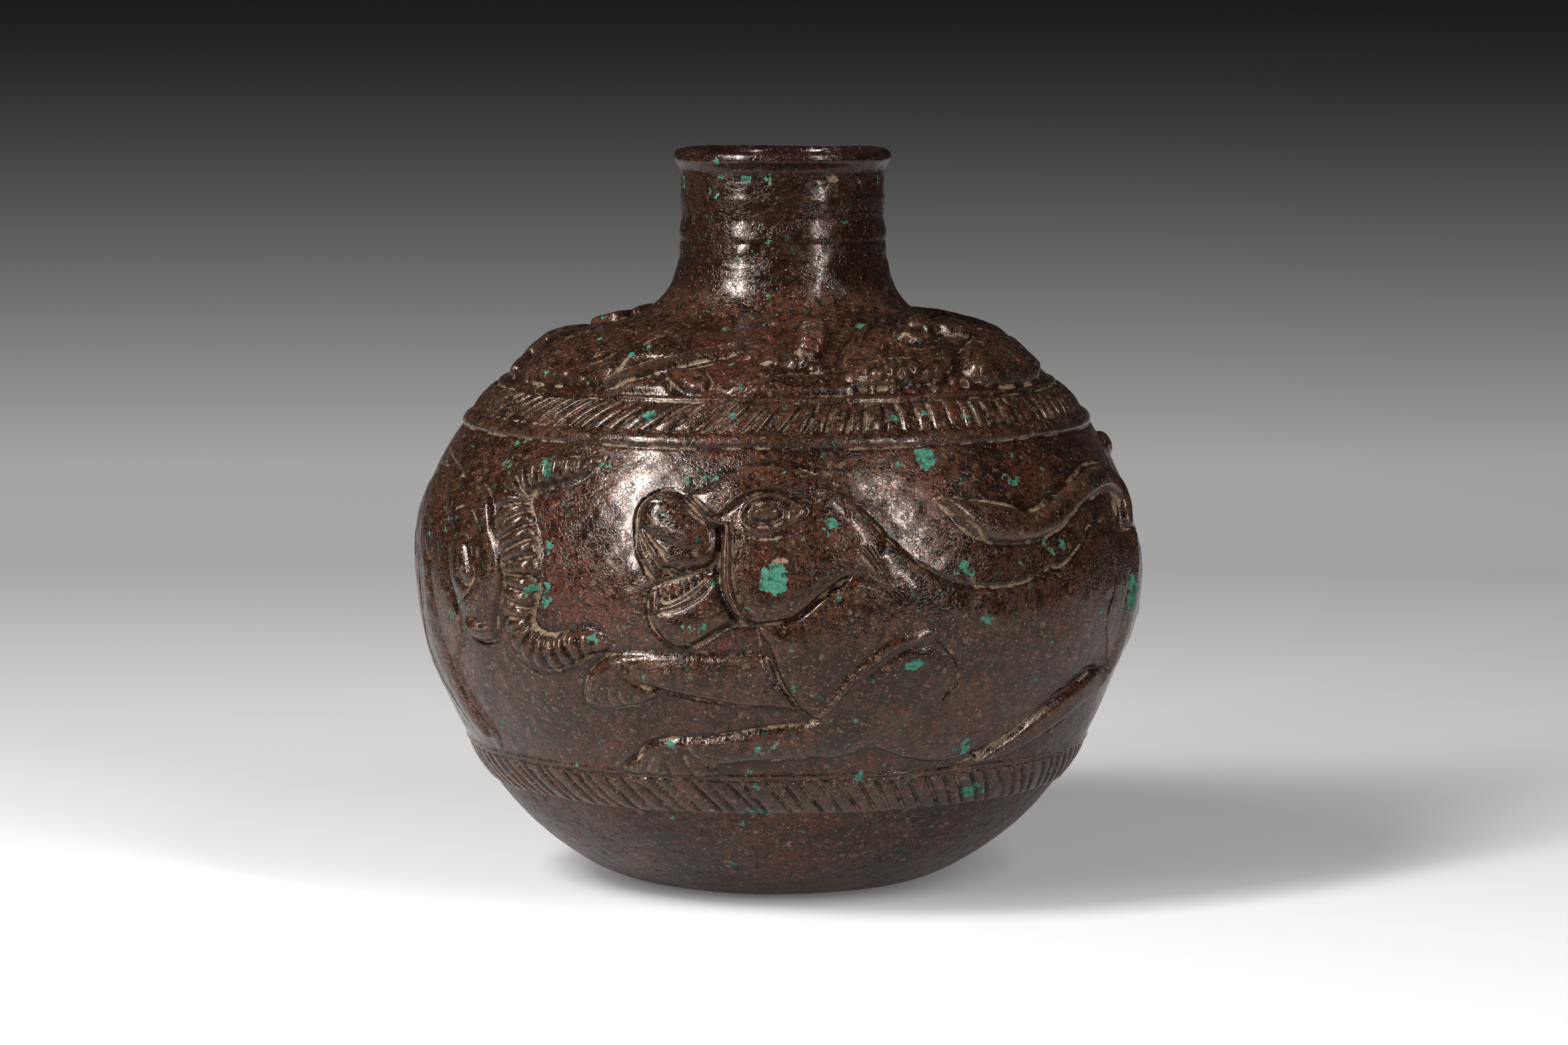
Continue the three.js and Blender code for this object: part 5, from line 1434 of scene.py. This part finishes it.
def noise(tree, per_metre, detail=3.0, roughness=0.55, distortion=0.0, shift=0.0, squash=1.0):
    """A noise in the object's own space, in waves to the metre, squashed in height where that is set"""
    place = own_place(tree)
    steps = {0: place, 1: (1, 1, squash), 2: (shift, 0.3 * shift, -shift)}
    moved = vectors(tree, "MULTIPLY_ADD", steps)
    given = {"Vector": moved, "Scale": per_metre, "Detail": detail, "Roughness": roughness}
    return add(tree, "ShaderNodeTexNoise", {**given, "Distortion": distortion}).outputs[0]


def ragged_place(tree, per_metre):
    """The object's own place, pushed about by a noise, so that outlines drawn there are ragged"""
    place = own_place(tree)
    waves = times(tree, per_metre, 1.7)
    push = add(tree, "ShaderNodeTexNoise", {"Vector": place, "Scale": waves, "Detail": 2.0, "Roughness": 0.6})
    centred = vectors(tree, "SUBTRACT", {0: push.outputs["Color"], 1: (0.5, 0.5, 0.5)})
    reach = maths(tree, "DIVIDE", 1.7, per_metre)
    shift = vectors(tree, "SCALE", {0: centred, "Scale": reach})
    return vectors(tree, "ADD", {0: place, 1: shift})


def specks_group():
    """Small ragged grains, one in each cell of a random pattern, shown in a share of the cells"""
    group, given, out = new_group("Specks", {"Cells per metre": 900, "Share": 0.1, "Size": 0.35}, ["Mask"])
    cells_per_metre = given.outputs["Cells per metre"]
    place = ragged_place(group, cells_per_metre)
    cells = add(group, "ShaderNodeTexVoronoi", {"Vector": place, "Scale": cells_per_metre})
    apart = add(group, "ShaderNodeSeparateColor", {0: cells.outputs["Color"]})
    chosen = maths(group, "LESS_THAN", apart.outputs[0], given.outputs["Share"])
    width = times(group, given.outputs["Size"], maths(group, "ADD", apart.outputs[1], 0.5))
    inner = times(group, width, 0.7)
    grain = ramp(group, cells.outputs["Distance"], width, inner)
    group.links.new(times(group, grain, chosen), out.inputs["Mask"])
    return group


def crackle_group():
    """A net of fine cracks, drawn out sideways, that comes and goes"""
    group, given, out = new_group("Crackle", {"Cells per metre": 1500, "Width": 0.05}, ["Height"])
    place = own_place(group)
    bent = add(group, "ShaderNodeTexNoise", {"Vector": place, "Scale": 700.0, "Detail": 2.0})
    shift = vectors(group, "SCALE", {0: bent.outputs["Color"], "Scale": 0.0016})
    flat = vectors(group, "MULTIPLY", {0: vectors(group, "ADD", {0: place, 1: shift}), 1: (1, 1, 1.9)})
    spots = {"Vector": flat, "Scale": given.outputs["Cells per metre"]}
    cells = add(group, "ShaderNodeTexVoronoi", spots, feature="DISTANCE_TO_EDGE")
    net = ramp(group, cells.outputs["Distance"], given.outputs["Width"], 0.0)
    here = ramp(group, noise(group, 200, 2.0, shift=0.31), 0.3, 0.55)
    group.links.new(maths(group, "SUBTRACT", 1.0, times(group, net, here)), out.inputs["Height"])
    return group


def patches_group():
    """Ragged patches of a size, over a share of the surface"""
    group, given, out = new_group("Patches", {"Waves per metre": 60, "Share": 0.4, "Edge": 0.06}, ["Mask"])
    waves = {"Vector": own_place(group), "Scale": given.outputs["Waves per metre"]}
    cloud = add(group, "ShaderNodeTexNoise", {**waves, "Detail": 6.0, "Roughness": 0.62})
    level = maths(group, "SUBTRACT", 0.78, times(group, given.outputs["Share"], 0.5))
    high = maths(group, "ADD", level, given.outputs["Edge"])
    low = maths(group, "SUBTRACT", level, given.outputs["Edge"])
    group.links.new(ramp(group, cloud.outputs[0], low, high), out.inputs["Mask"])
    return group


@functools.cache
def shared_group(name):
    return {"Specks": specks_group, "Crackle": crackle_group, "Patches": patches_group}[name]()


def effect(tree, name, **values):
    """Places a shared group with its own values, whose names have underscores for spaces"""
    made = tree.nodes.new("ShaderNodeGroup")
    made.node_tree = shared_group(name)
    for socket, value in values.items():
        made.inputs[socket.replace("_", " ")].default_value = value
    return made


def painted(tree, name):
    """A value painted on the mesh's points"""
    return add(tree, "ShaderNodeAttribute", attribute_name=name).outputs["Fac"]


# Each finish: shares of red and of green patches, roughness, lightness and index of refraction
FINISHES = {
    "wall": {"red": 0.62, "green": 0.08, "gloss": 0.12, "light": 0.0, "glass": 1.45},
    "foot": {"red": 0.55, "green": 0.1, "gloss": 0.34, "light": -0.01, "glass": 1.32},
    "relief": {"red": 0.46, "green": 0.06, "gloss": 0.1, "light": 0.0, "glass": 1.45},
    "band": {"red": 0.38, "green": 0.06, "gloss": 0.12, "light": 0.0, "glass": 1.45},
    "rim": {"red": 0.3, "green": 0.16, "gloss": 0.13, "light": 0.0, "glass": 1.45},
}
WARM_GLOSS = (1.0, 0.88, 0.81, 1)
LIGHT_BRONZE = (0.115, 0.068, 0.043, 1)
TAN_GRAIN = (0.19, 0.13, 0.08, 1)
PALE_DUST = (0.34, 0.27, 0.2, 1)
SOOT = (0.010, 0.007, 0.006, 1)
PALE_GREEN = (0.06, 0.22, 0.15, 1)
DARK_GREEN = (0.006, 0.045, 0.032, 1)


# Noises of the patina: waves to the metre, detail, roughness, distortion, shift and squash
NOISES = {
    "clouds": (60, 4.0, 0.6),
    "middling": (330, 4.0, 0.7, 0.4, 0.17),
    "fine": (1350, 4.0, 0.75, 0.6, 0.43),
    "ragged": (330, 3.0, 0.6, 0.5, 0.8),
    "gaps": (150, 3.0, 0.6, 0.0, 0.71),
    "wrinkles": (280, 3.0, 0.6, 0.3, 0.9, 2.4),
    "grain": (1200, 3.0, 0.6, 0.0, 0.5, 1.5),
}
# Specks: cells to the metre, the share of cells that hold one, its size in the cell, and its strength
SPECKS = {
    "grains": (1100, 0.1, 0.36, 0.5),
    "pits": (760, 0.26, 0.44, 0.8),
    "flecks": (520, 0.22, 0.34, 0.38),
    "dust": (1500, 0.06, 0.32, 0.55),
    "rust": (620, 0.07, 0.36, 0.7),
    "tarnish": (640, 0.06, 0.4, 0.7),
    "flakes": (430, 0.03, 0.33, 1.0),
}
# How strongly each layer covers what is under it
WEAR_COVER = 0.14
# The neck's darkening with the painted shade round the figures: how strongly it darkens the colour and hides
# the specks
NECK_DARK_AND_SHADE_COVER = 0.75
NECK_DARK_AND_SHADE_HIDES = 0.7
BLOOM_COVER = 0.7
GREEN_COVER = 0.92
EARTH_COVER = 0.9


def shares(tree, *parts):
    """The sum of values, each times its weight"""
    total = None
    for value, weight in parts:
        part = times(tree, value, weight)
        total = part if total is None else maths(tree, "ADD", total, part)
    return total


def specks(tree, kind):
    """The mask of one kind of speck"""
    cells, share, size, _ = SPECKS[kind]
    return effect(tree, "Specks", Cells_per_metre=cells, Share=share, Size=size).outputs["Mask"]


def strewn(tree, colour, kind, tone, shown=None):
    """A colour with one kind of speck strewn over it in a tone, and the specks' mask"""
    mask = specks(tree, kind)
    cover = mask if shown is None else times(tree, mask, shown)
    return mixed(tree, times(tree, cover, SPECKS[kind][3]), colour, tone), mask


def brown_ground(tree, look, finish, middling, fine):
    """Clouds of brown with patches of red oxide, lighter where worn, and the share of red"""
    mottle = shares(tree, (noise(tree, *NOISES["clouds"]), 0.22), (middling, 0.33), (fine, 0.45))
    tone = ramp(tree, mottle, 0.455 - look["light"], 0.575 - look["light"])
    colour = mixed(tree, tone, (*finish.dark_patina, 1), (*finish.brown_patina, 1))
    red = effect(tree, "Patches", Waves_per_metre=48, Share=look["red"], Edge=0.09).outputs[0]
    red = times(tree, red, ramp(tree, painted(tree, "cuprite"), 0.25, 0.8, 0.1, 1.0))
    red = times(tree, red, ramp(tree, middling, 0.38, 0.6, 0.3, 1.0))
    ruddy = mixed(tree, ramp(tree, fine, 0.4, 0.6), SOOT, (*finish.red_patina, 1))
    colour = mixed(tree, red, colour, ruddy)
    return mixed(tree, times(tree, painted(tree, "wear"), WEAR_COVER), colour, LIGHT_BRONZE), red


def speckled(tree, finish, colour):
    """A colour darkened on the neck and under painted shade round the figures, then strewn with all kinds of
    specks, and the mask of the pits
    """
    soot = painted(tree, "soot")
    # Painted shade: this mixes the colour towards dark patina round the figures, and darkens the neck
    colour = mixed(tree, times(tree, soot, NECK_DARK_AND_SHADE_COVER), colour, (*finish.dark_patina, 1))
    shown = maths(tree, "SUBTRACT", 1.0, times(tree, soot, NECK_DARK_AND_SHADE_HIDES))
    colour, _ = strewn(tree, colour, "grains", TAN_GRAIN, shown)
    colour, pits = strewn(tree, colour, "pits", SOOT)
    colour, _ = strewn(tree, colour, "flecks", TAN_GRAIN, shown)
    colour, _ = strewn(tree, colour, "dust", PALE_DUST)
    colour, _ = strewn(tree, colour, "rust", (*finish.red_patina, 1))
    colour, _ = strewn(tree, colour, "tarnish", DARK_GREEN)
    return colour, pits


def green_cover(tree, look):
    """How much verdigris lies on a place: thin blooms, flakes, and larger spots with torn edges"""
    bloom = effect(tree, "Patches", Waves_per_metre=190, Share=look["green"], Edge=0.02).outputs[0]
    flakes = specks(tree, "flakes")
    spots = painted(tree, "verdigris")
    tearing = ramp(tree, spots, 0.0, 0.3, 0.0, 3.6)
    torn = times(tree, maths(tree, "SUBTRACT", noise(tree, *NOISES["ragged"]), 0.5), tearing)
    crust = ramp(tree, maths(tree, "ADD", spots, torn), 0.5, 0.56)
    return maths(tree, "MAXIMUM", maths(tree, "MAXIMUM", times(tree, bloom, BLOOM_COVER), flakes), crust)


def earth_cover(tree, fine):
    """How much earth lies on a place: it is crumbly, and gone from parts of the hollows"""
    left = ramp(tree, noise(tree, *NOISES["gaps"]), 0.42, 0.58, 0.12, 1.0)
    crumbs = ramp(tree, fine, 0.40, 0.56, 0.5, 1.0)
    return ramp(tree, times(tree, painted(tree, "deposit"), times(tree, left, crumbs)), 0.16, 0.6)


def covered(tree, finish, colour, green, earth, middling, fine):
    """A colour with verdigris and then earth over it"""
    green_tone = mixed(tree, ramp(tree, fine, 0.42, 0.62), (*finish.verdigris, 1), PALE_GREEN)
    green_tone = mixed(tree, ramp(tree, middling, 0.5, 0.4), green_tone, DARK_GREEN)
    colour = mixed(tree, times(tree, green, GREEN_COVER), colour, green_tone)
    earth_tone = mixed(tree, ramp(tree, middling, 0.4, 0.6), TAN_GRAIN, (*finish.earth, 1))
    return mixed(tree, times(tree, earth, EARTH_COVER), colour, earth_tone)


def roughness(tree, look, middling, pits, red, matte):
    """Glossy patina, a little duller in pits and red patches, and matte under earth and verdigris"""
    smooth = ramp(tree, middling, 0.35, 0.65, look["gloss"] - 0.03, look["gloss"] + 0.06)
    rough = maths(tree, "ADD", smooth, times(tree, pits, 0.2))
    rough = maths(tree, "ADD", rough, times(tree, red, 0.1))
    return maths(tree, "MAXIMUM", rough, times(tree, matte, 0.8), clamp=True)


def grain_normal(tree, finish, pits, matte):
    """Wrinkles, grain, cracks and pits in the patina, and the thickness of what lies on it"""
    crackle = effect(tree, "Crackle", Cells_per_metre=700, Width=0.12).outputs["Height"]
    wrinkles = noise(tree, *NOISES["wrinkles"])
    height = shares(tree, (wrinkles, 0.22), (noise(tree, *NOISES["grain"]), 0.1), (crackle, 0.15))
    height = maths(tree, "SUBTRACT", height, times(tree, pits, 0.12))
    height = maths(tree, "ADD", height, times(tree, matte, 0.2))
    bump = add(tree, "ShaderNodeBump", {"Height": height, "Strength": 1.0, "Distance": finish.grain_depth})
    return bump.outputs["Normal"]


@functools.cache
def patina(slot):
    """Dark glossy patina over cast bronze, with red and green patches and earth in its hollows"""
    look = FINISHES[slot]
    finish = bpy.context.scene.jar_finish
    material = bpy.data.materials.new(f"patina_{slot}")
    material.use_nodes = True
    tree = material.node_tree
    shader = tree.nodes["Principled BSDF"]
    middling = noise(tree, *NOISES["middling"])
    fine = noise(tree, *NOISES["fine"])
    colour, red = brown_ground(tree, look, finish, middling, fine)
    colour, pits = speckled(tree, finish, colour)
    green = green_cover(tree, look)
    earth = earth_cover(tree, fine)
    matte = maths(tree, "MAXIMUM", earth, green)
    colour = covered(tree, finish, colour, green, earth, middling, fine)
    tree.links.new(colour, shader.inputs["Base Color"])
    tree.links.new(roughness(tree, look, middling, pits, red, matte), shader.inputs["Roughness"])
    tree.links.new(grain_normal(tree, finish, pits, matte), shader.inputs["Normal"])
    shader.inputs["Metallic"].default_value = finish.metallic
    shader.inputs["IOR"].default_value = look["glass"]
    shader.inputs["Specular Tint"].default_value = WARM_GLOSS
    return material


class JarShape(PropertyGroup):
    """Sizes of the relief that lies on the fixed wall."""

    rise: FloatProperty(
        name="Relief height", description="How high the figures stand, as a share of the real height",
        default=1.0, min=0.3, max=1.15,
    )
    hatch_depth: FloatProperty(
        name="Stroke depth", description="How deep the strokes are cut, as a share of the real depth",
        default=1.0, min=0.2, max=1.4,
    )
    unevenness: FloatProperty(
        name="Cast unevenness", description="How far the wall strays, as a share of the real unevenness",
        default=1.0, min=0.0, max=2.0,
    )


class JarFinish(PropertyGroup):
    """Colours and gloss of the old bronze."""

    dark_patina: FloatVectorProperty(
        name="Dark patina", description="Darkest brown of the patina", subtype="COLOR",
        default=(0.009, 0.004, 0.0024),
    )
    brown_patina: FloatVectorProperty(
        name="Brown patina", description="Lighter brown of the patina", subtype="COLOR",
        default=(0.062, 0.0265, 0.0155),
    )
    red_patina: FloatVectorProperty(
        name="Red patina", description="Red copper oxide patches", subtype="COLOR",
        default=(0.10, 0.022, 0.012),
    )
    verdigris: FloatVectorProperty(
        name="Verdigris", description="Green crust", subtype="COLOR", default=(0.016, 0.125, 0.082)
    )
    earth: FloatVectorProperty(
        name="Earth", description="Pale earth in the hollows", subtype="COLOR", default=(0.27, 0.185, 0.11)
    )
    metallic: FloatProperty(
        name="Bare metal", description="Share of bare metal in the surface", default=0.1, min=0.0, max=1.0
    )
    grain_depth: FloatProperty(
        name="Grain depth", description="Depth of the surface's fine grain", unit="LENGTH",
        default=0.00020, min=0.0, max=0.001, precision=5,
    )


class JarStage(PropertyGroup):
    """Floor, backdrop, lamps and camera."""

    floor_colour: FloatVectorProperty(
        name="Floor", description="Colour of the floor and the backdrop", subtype="COLOR",
        default=(1.0, 0.99, 0.985),
    )
    key_power: FloatProperty(
        name="Left lamp", description="Power of the tall lamp at the left, in watts", default=18.0, min=0.0
    )
    high_power: FloatProperty(
        name="High lamp", description="Power of the high lamp at the left, in watts", default=9.5, min=0.0
    )
    fill_power: FloatProperty(
        name="Right lamp", description="Power of the tall lamp at the right, in watts", default=12.0, min=0.0
    )
    camera_distance: FloatProperty(
        name="Camera distance", description="From the jar's axis to the camera", unit="LENGTH",
        default=1.442, min=0.3,
    )
    camera_height: FloatProperty(
        name="Camera height", description="Height of the camera over the floor", default=0.250, unit="LENGTH",
    )


def jar_board():
    shape = bpy.context.scene.jar_shape
    board = carved_board(shape.rise, shape.hatch_depth, shape.unevenness)
    if not hasattr(board, "bare"):
        finish_board(board)
    return board


def settle(piece, node, slot):
    """Gives a piece its finish and puts it in the place of its solid"""
    piece.data.materials.append(patina(slot))
    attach(piece, "root")
    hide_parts(node)


def lay_pieces(names, slot):
    board = jar_board()
    for name in names:
        settle(seated_piece(board, name), name, slot)


def lay_figures(*figures):
    lay_pieces([f"{figure}_{part}" for figure in figures for part in FIGURES[figure][0]], "relief")


def row_at(board, height):
    return int(np.argmin(np.abs(board.arc - WALL.arc_at(height))))


class JAR_OT_walls(Operator):
    """Make the foot bowl, the belly, the shoulder and the neck, with beds for what lies on them"""

    bl_idname = "jar.walls"
    bl_label = "Walls"

    def execute(self, context):
        board = jar_board()
        joints = [0] + [row_at(board, h) for h in (BOWL_JOINT, DOME_JOINT, NECK_BOTTOM, NECK_TOP_HEIGHT)]
        for (name, slot), low, high in zip(WALLS.items(), joints, joints[1:]):
            settle(wall_shell(board, name, low, high), name, slot)
        return {"FINISHED"}


class JAR_OT_rim(Operator):
    """Make the rolled rim at the mouth"""

    bl_idname = "jar.rim"
    bl_label = "Rolled rim"

    def execute(self, context):
        board = jar_board()
        low = row_at(board, NECK_TOP_HEIGHT)
        settle(wall_shell(board, "rolled_rim", low, len(board.arc) - 1), "rolled_rim", "rim")
        return {"FINISHED"}


class JAR_OT_bands(Operator):
    """Make the two hatched bands and the plain ridges beside them"""

    bl_idname = "jar.bands"
    bl_label = "Bands"

    def execute(self, context):
        lay_pieces([name for name, _, _ in RINGS], "band")
        return {"FINISHED"}


class JAR_OT_beasts(Operator):
    """Make the two open-jawed beasts of the belly"""

    bl_idname = "jar.beasts"
    bl_label = "Open-jawed beasts"

    def execute(self, context):
        lay_figures("front_beast", "back_beast")
        return {"FINISHED"}


class JAR_OT_masks(Operator):
    """Make the two masked beasts with their ribbed manes"""

    bl_idname = "jar.masks"
    bl_label = "Masked beasts"

    def execute(self, context):
        lay_figures("left_mask", "right_mask")
        return {"FINISHED"}


class JAR_OT_shoulder_animals(Operator):
    """Make the lying and the crouching animals on the shoulder"""

    bl_idname = "jar.shoulder_animals"
    bl_label = "Shoulder animals"

    def execute(self, context):
        lay_figures("front", "back")
        return {"FINISHED"}


# The stage, in metres: the backdrop is one sheet that runs back over the floor and curves up
FLOOR_FRONT = -2.2
FLOOR_BACK = 0.75
FLOOR_SIDE = 0.52
BACKDROP_BEND = 0.55
BACKDROP_TOP = 2.2
CAMERA_AXIS_SHIFT = 0.00214
CAMERA_TILT = 5.97
CAMERA_LENS = 118.6
SENSOR_WIDTH = 36.0
LAMPS = {
    "left_lamp": {"azimuth": -49, "elevation": 31, "distance": 1.2, "size": (0.1, 1.2), "roll": 14},
    "high_lamp": {"azimuth": -52, "elevation": 41, "distance": 1.2, "size": (0.28, 0.34), "roll": 0},
    "right_lamp": {"azimuth": 42, "elevation": 25, "distance": 1.25, "size": (0.08, 1.2), "roll": 0},
}
AIM_HEIGHT = 0.11
WORLD_GREY = 0.025
# How pale the sheet is painted: it starts near white, and painted shade darkens it slowly over the floor and
# quickly up the backdrop
SHEET_START = -0.1
# Painted shade: a darker band of the sheet in front of the jar
FRONT_SHADE_FROM = -0.4
FRONT_SHADE_UNTIL = -0.25
FRONT_SHADE_DARK = 0.08
SHEET_BEND = 0.96
SHEET_END = 1.45
PALE_AT_BEND = 0.29
DARK_AT_END = 0.0075
FALL_POWER = 1.7
FLOOR_GLOW = 0.11
BACKDROP_GLOW = 0.6
MOST_PALE = 0.68


def backdrop_paper(colour):
    """Pale paper with painted shade that darkens it over the floor, up the backdrop and in a band in front of
    the jar, and that glows to the camera and in gloss
    """
    material = bpy.data.materials.new("stage_paper")
    material.use_nodes = True
    tree = material.node_tree
    shader = tree.nodes["Principled BSDF"]
    place = add(tree, "ShaderNodeSeparateXYZ", {0: own_place(tree)})
    along = maths(tree, "ADD", place.outputs[1], place.outputs[2])
    # Painted shade: the paper's colour darkens over the floor and up the backdrop
    floor = straight(tree, along, SHEET_START, SHEET_BEND, MOST_PALE - PALE_AT_BEND - DARK_AT_END, 0.0)
    fall = maths(tree, "POWER", straight(tree, along, SHEET_BEND, SHEET_END, 1.0, 0.0), FALL_POWER)
    pale = maths(tree, "ADD", times(tree, fall, PALE_AT_BEND), DARK_AT_END)
    pale = maths(tree, "ADD", pale, floor)
    # Painted shade in a band in front of the jar
    front_shade = straight(tree, along, FRONT_SHADE_FROM, FRONT_SHADE_UNTIL, FRONT_SHADE_DARK, 1.0)
    shown = mixed(tree, times(tree, pale, front_shade), (0, 0, 0, 1), colour)
    tree.links.new(shown, shader.inputs["Base Color"])
    tree.links.new(shown, shader.inputs["Emission Color"])
    ray = add(tree, "ShaderNodeLightPath").outputs
    seen = maths(tree, "MAXIMUM", ray["Is Camera Ray"], ray["Is Glossy Ray"])
    seen = maths(tree, "MAXIMUM", seen, ray["Is Transmission Ray"])
    glow = straight(tree, along, SHEET_START, SHEET_BEND, FLOOR_GLOW, BACKDROP_GLOW)
    tree.links.new(times(tree, seen, glow), shader.inputs["Emission Strength"])
    shader.inputs["Roughness"].default_value = 0.9
    shader.inputs["Specular IOR Level"].default_value = 0.1
    # A camera behind the sheet sees through it
    behind = add(tree, "ShaderNodeNewGeometry").outputs["Backfacing"]
    clear = add(tree, "ShaderNodeBsdfTransparent")
    either = add(tree, "ShaderNodeMixShader", {0: behind, 1: shader.outputs[0], 2: clear.outputs[0]})
    tree.links.new(either.outputs[0], tree.nodes["Material Output"].inputs["Surface"])
    return material


def backdrop(colour):
    bend = np.radians(np.linspace(0, 90, 25))
    run = [(FLOOR_FRONT, 0.0), (FLOOR_BACK, 0.0)]
    run += [(FLOOR_BACK + BACKDROP_BEND * math.sin(a), BACKDROP_BEND * (1 - math.cos(a))) for a in bend[1:]]
    run.append((FLOOR_BACK + BACKDROP_BEND, BACKDROP_TOP))
    mesh = bpy.data.meshes.new("backdrop")
    points = [(x, y, z) for y, z in run for x in (-FLOOR_SIDE, FLOOR_SIDE)]
    faces = [(2 * i, 2 * i + 1, 2 * i + 3, 2 * i + 2) for i in range(len(run) - 1)]
    mesh.from_pydata(points, [], faces)
    mesh.polygons.foreach_set("use_smooth", [True] * len(faces))
    mesh.materials.append(backdrop_paper(colour))
    sheet = bpy.data.objects.new("backdrop", mesh)
    bpy.context.scene.collection.objects.link(sheet)


def lamp(name, power):
    """A soft lamp that looks at the jar's middle"""
    spec = LAMPS[name]
    data = bpy.data.lights.new(name, "AREA")
    data.shape = "RECTANGLE"
    data.size, data.size_y = spec["size"]
    data.energy = power
    light = bpy.data.objects.new(name, data)
    bpy.context.scene.collection.objects.link(light)
    a, e = math.radians(spec["azimuth"]), math.radians(spec["elevation"])
    back = Vector((math.sin(a) * math.cos(e), -math.cos(a) * math.cos(e), math.sin(e)))
    light.location = Vector((0, 0, AIM_HEIGHT)) + spec["distance"] * back
    light.rotation_mode = "QUATERNION"
    turned = Quaternion((0, 0, 1), math.radians(spec["roll"]))
    light.rotation_quaternion = (-back).to_track_quat("-Z", "Y") @ turned


class JAR_OT_stage(Operator):
    """Make the pale floor and backdrop, the lamps and the camera"""

    bl_idname = "jar.stage"
    bl_label = "Stage"

    def execute(self, context):
        stage = context.scene.jar_stage
        backdrop((*stage.floor_colour, 1))
        lamp("left_lamp", stage.key_power)
        lamp("high_lamp", stage.high_power)
        lamp("right_lamp", stage.fill_power)
        world = bpy.data.worlds.new("soft_room")
        world.use_nodes = True
        sky = world.node_tree.nodes["Background"]
        sky.inputs["Color"].default_value = (WORLD_GREY, WORLD_GREY, WORLD_GREY, 1)
        context.scene.world = world
        data = bpy.data.cameras.new("camera")
        data.lens = CAMERA_LENS
        data.sensor_width = SENSOR_WIDTH
        camera = bpy.data.objects.new("camera", data)
        camera.location = (CAMERA_AXIS_SHIFT, -stage.camera_distance, stage.camera_height)
        camera.rotation_euler = (math.radians(90 - CAMERA_TILT), 0, 0)
        context.scene.collection.objects.link(camera)
        context.scene.camera = camera
        context.scene.view_settings.view_transform = "Standard"
        return {"FINISHED"}


OPERATORS = (
    JAR_OT_stage,
    JAR_OT_walls,
    JAR_OT_rim,
    JAR_OT_bands,
    JAR_OT_beasts,
    JAR_OT_masks,
    JAR_OT_shoulder_animals,
)


class JAR_PT_panel(Panel):
    """Sizes, colours and the steps that make the jar"""

    bl_idname = "JAR_PT_panel"
    bl_label = "Bronze jar"
    bl_space_type = "VIEW_3D"
    bl_region_type = "UI"
    bl_category = "Jar"

    def draw(self, context):
        for settings in (context.scene.jar_shape, context.scene.jar_finish, context.scene.jar_stage):
            box = self.layout.box()
            for name in settings.__annotations__:
                box.prop(settings, name)
        for operator in OPERATORS:
            self.layout.operator(operator.bl_idname)


CLASSES = (JarShape, JarFinish, JarStage, *OPERATORS, JAR_PT_panel)


def register():
    for cls in CLASSES:
        bpy.utils.register_class(cls)
    bpy.types.Scene.jar_shape = PointerProperty(type=JarShape)
    bpy.types.Scene.jar_finish = PointerProperty(type=JarFinish)
    bpy.types.Scene.jar_stage = PointerProperty(type=JarStage)


def unregister():
    del bpy.types.Scene.jar_shape, bpy.types.Scene.jar_finish, bpy.types.Scene.jar_stage
    for cls in reversed(CLASSES):
        bpy.utils.unregister_class(cls)


def main():
    register()
    bpy.ops.jar.stage()
    bpy.ops.jar.walls()
    bpy.ops.jar.rim()
    bpy.ops.jar.bands()
    bpy.ops.jar.beasts()
    bpy.ops.jar.masks()
    bpy.ops.jar.shoulder_animals()


if __name__ == "__main__":
    main()
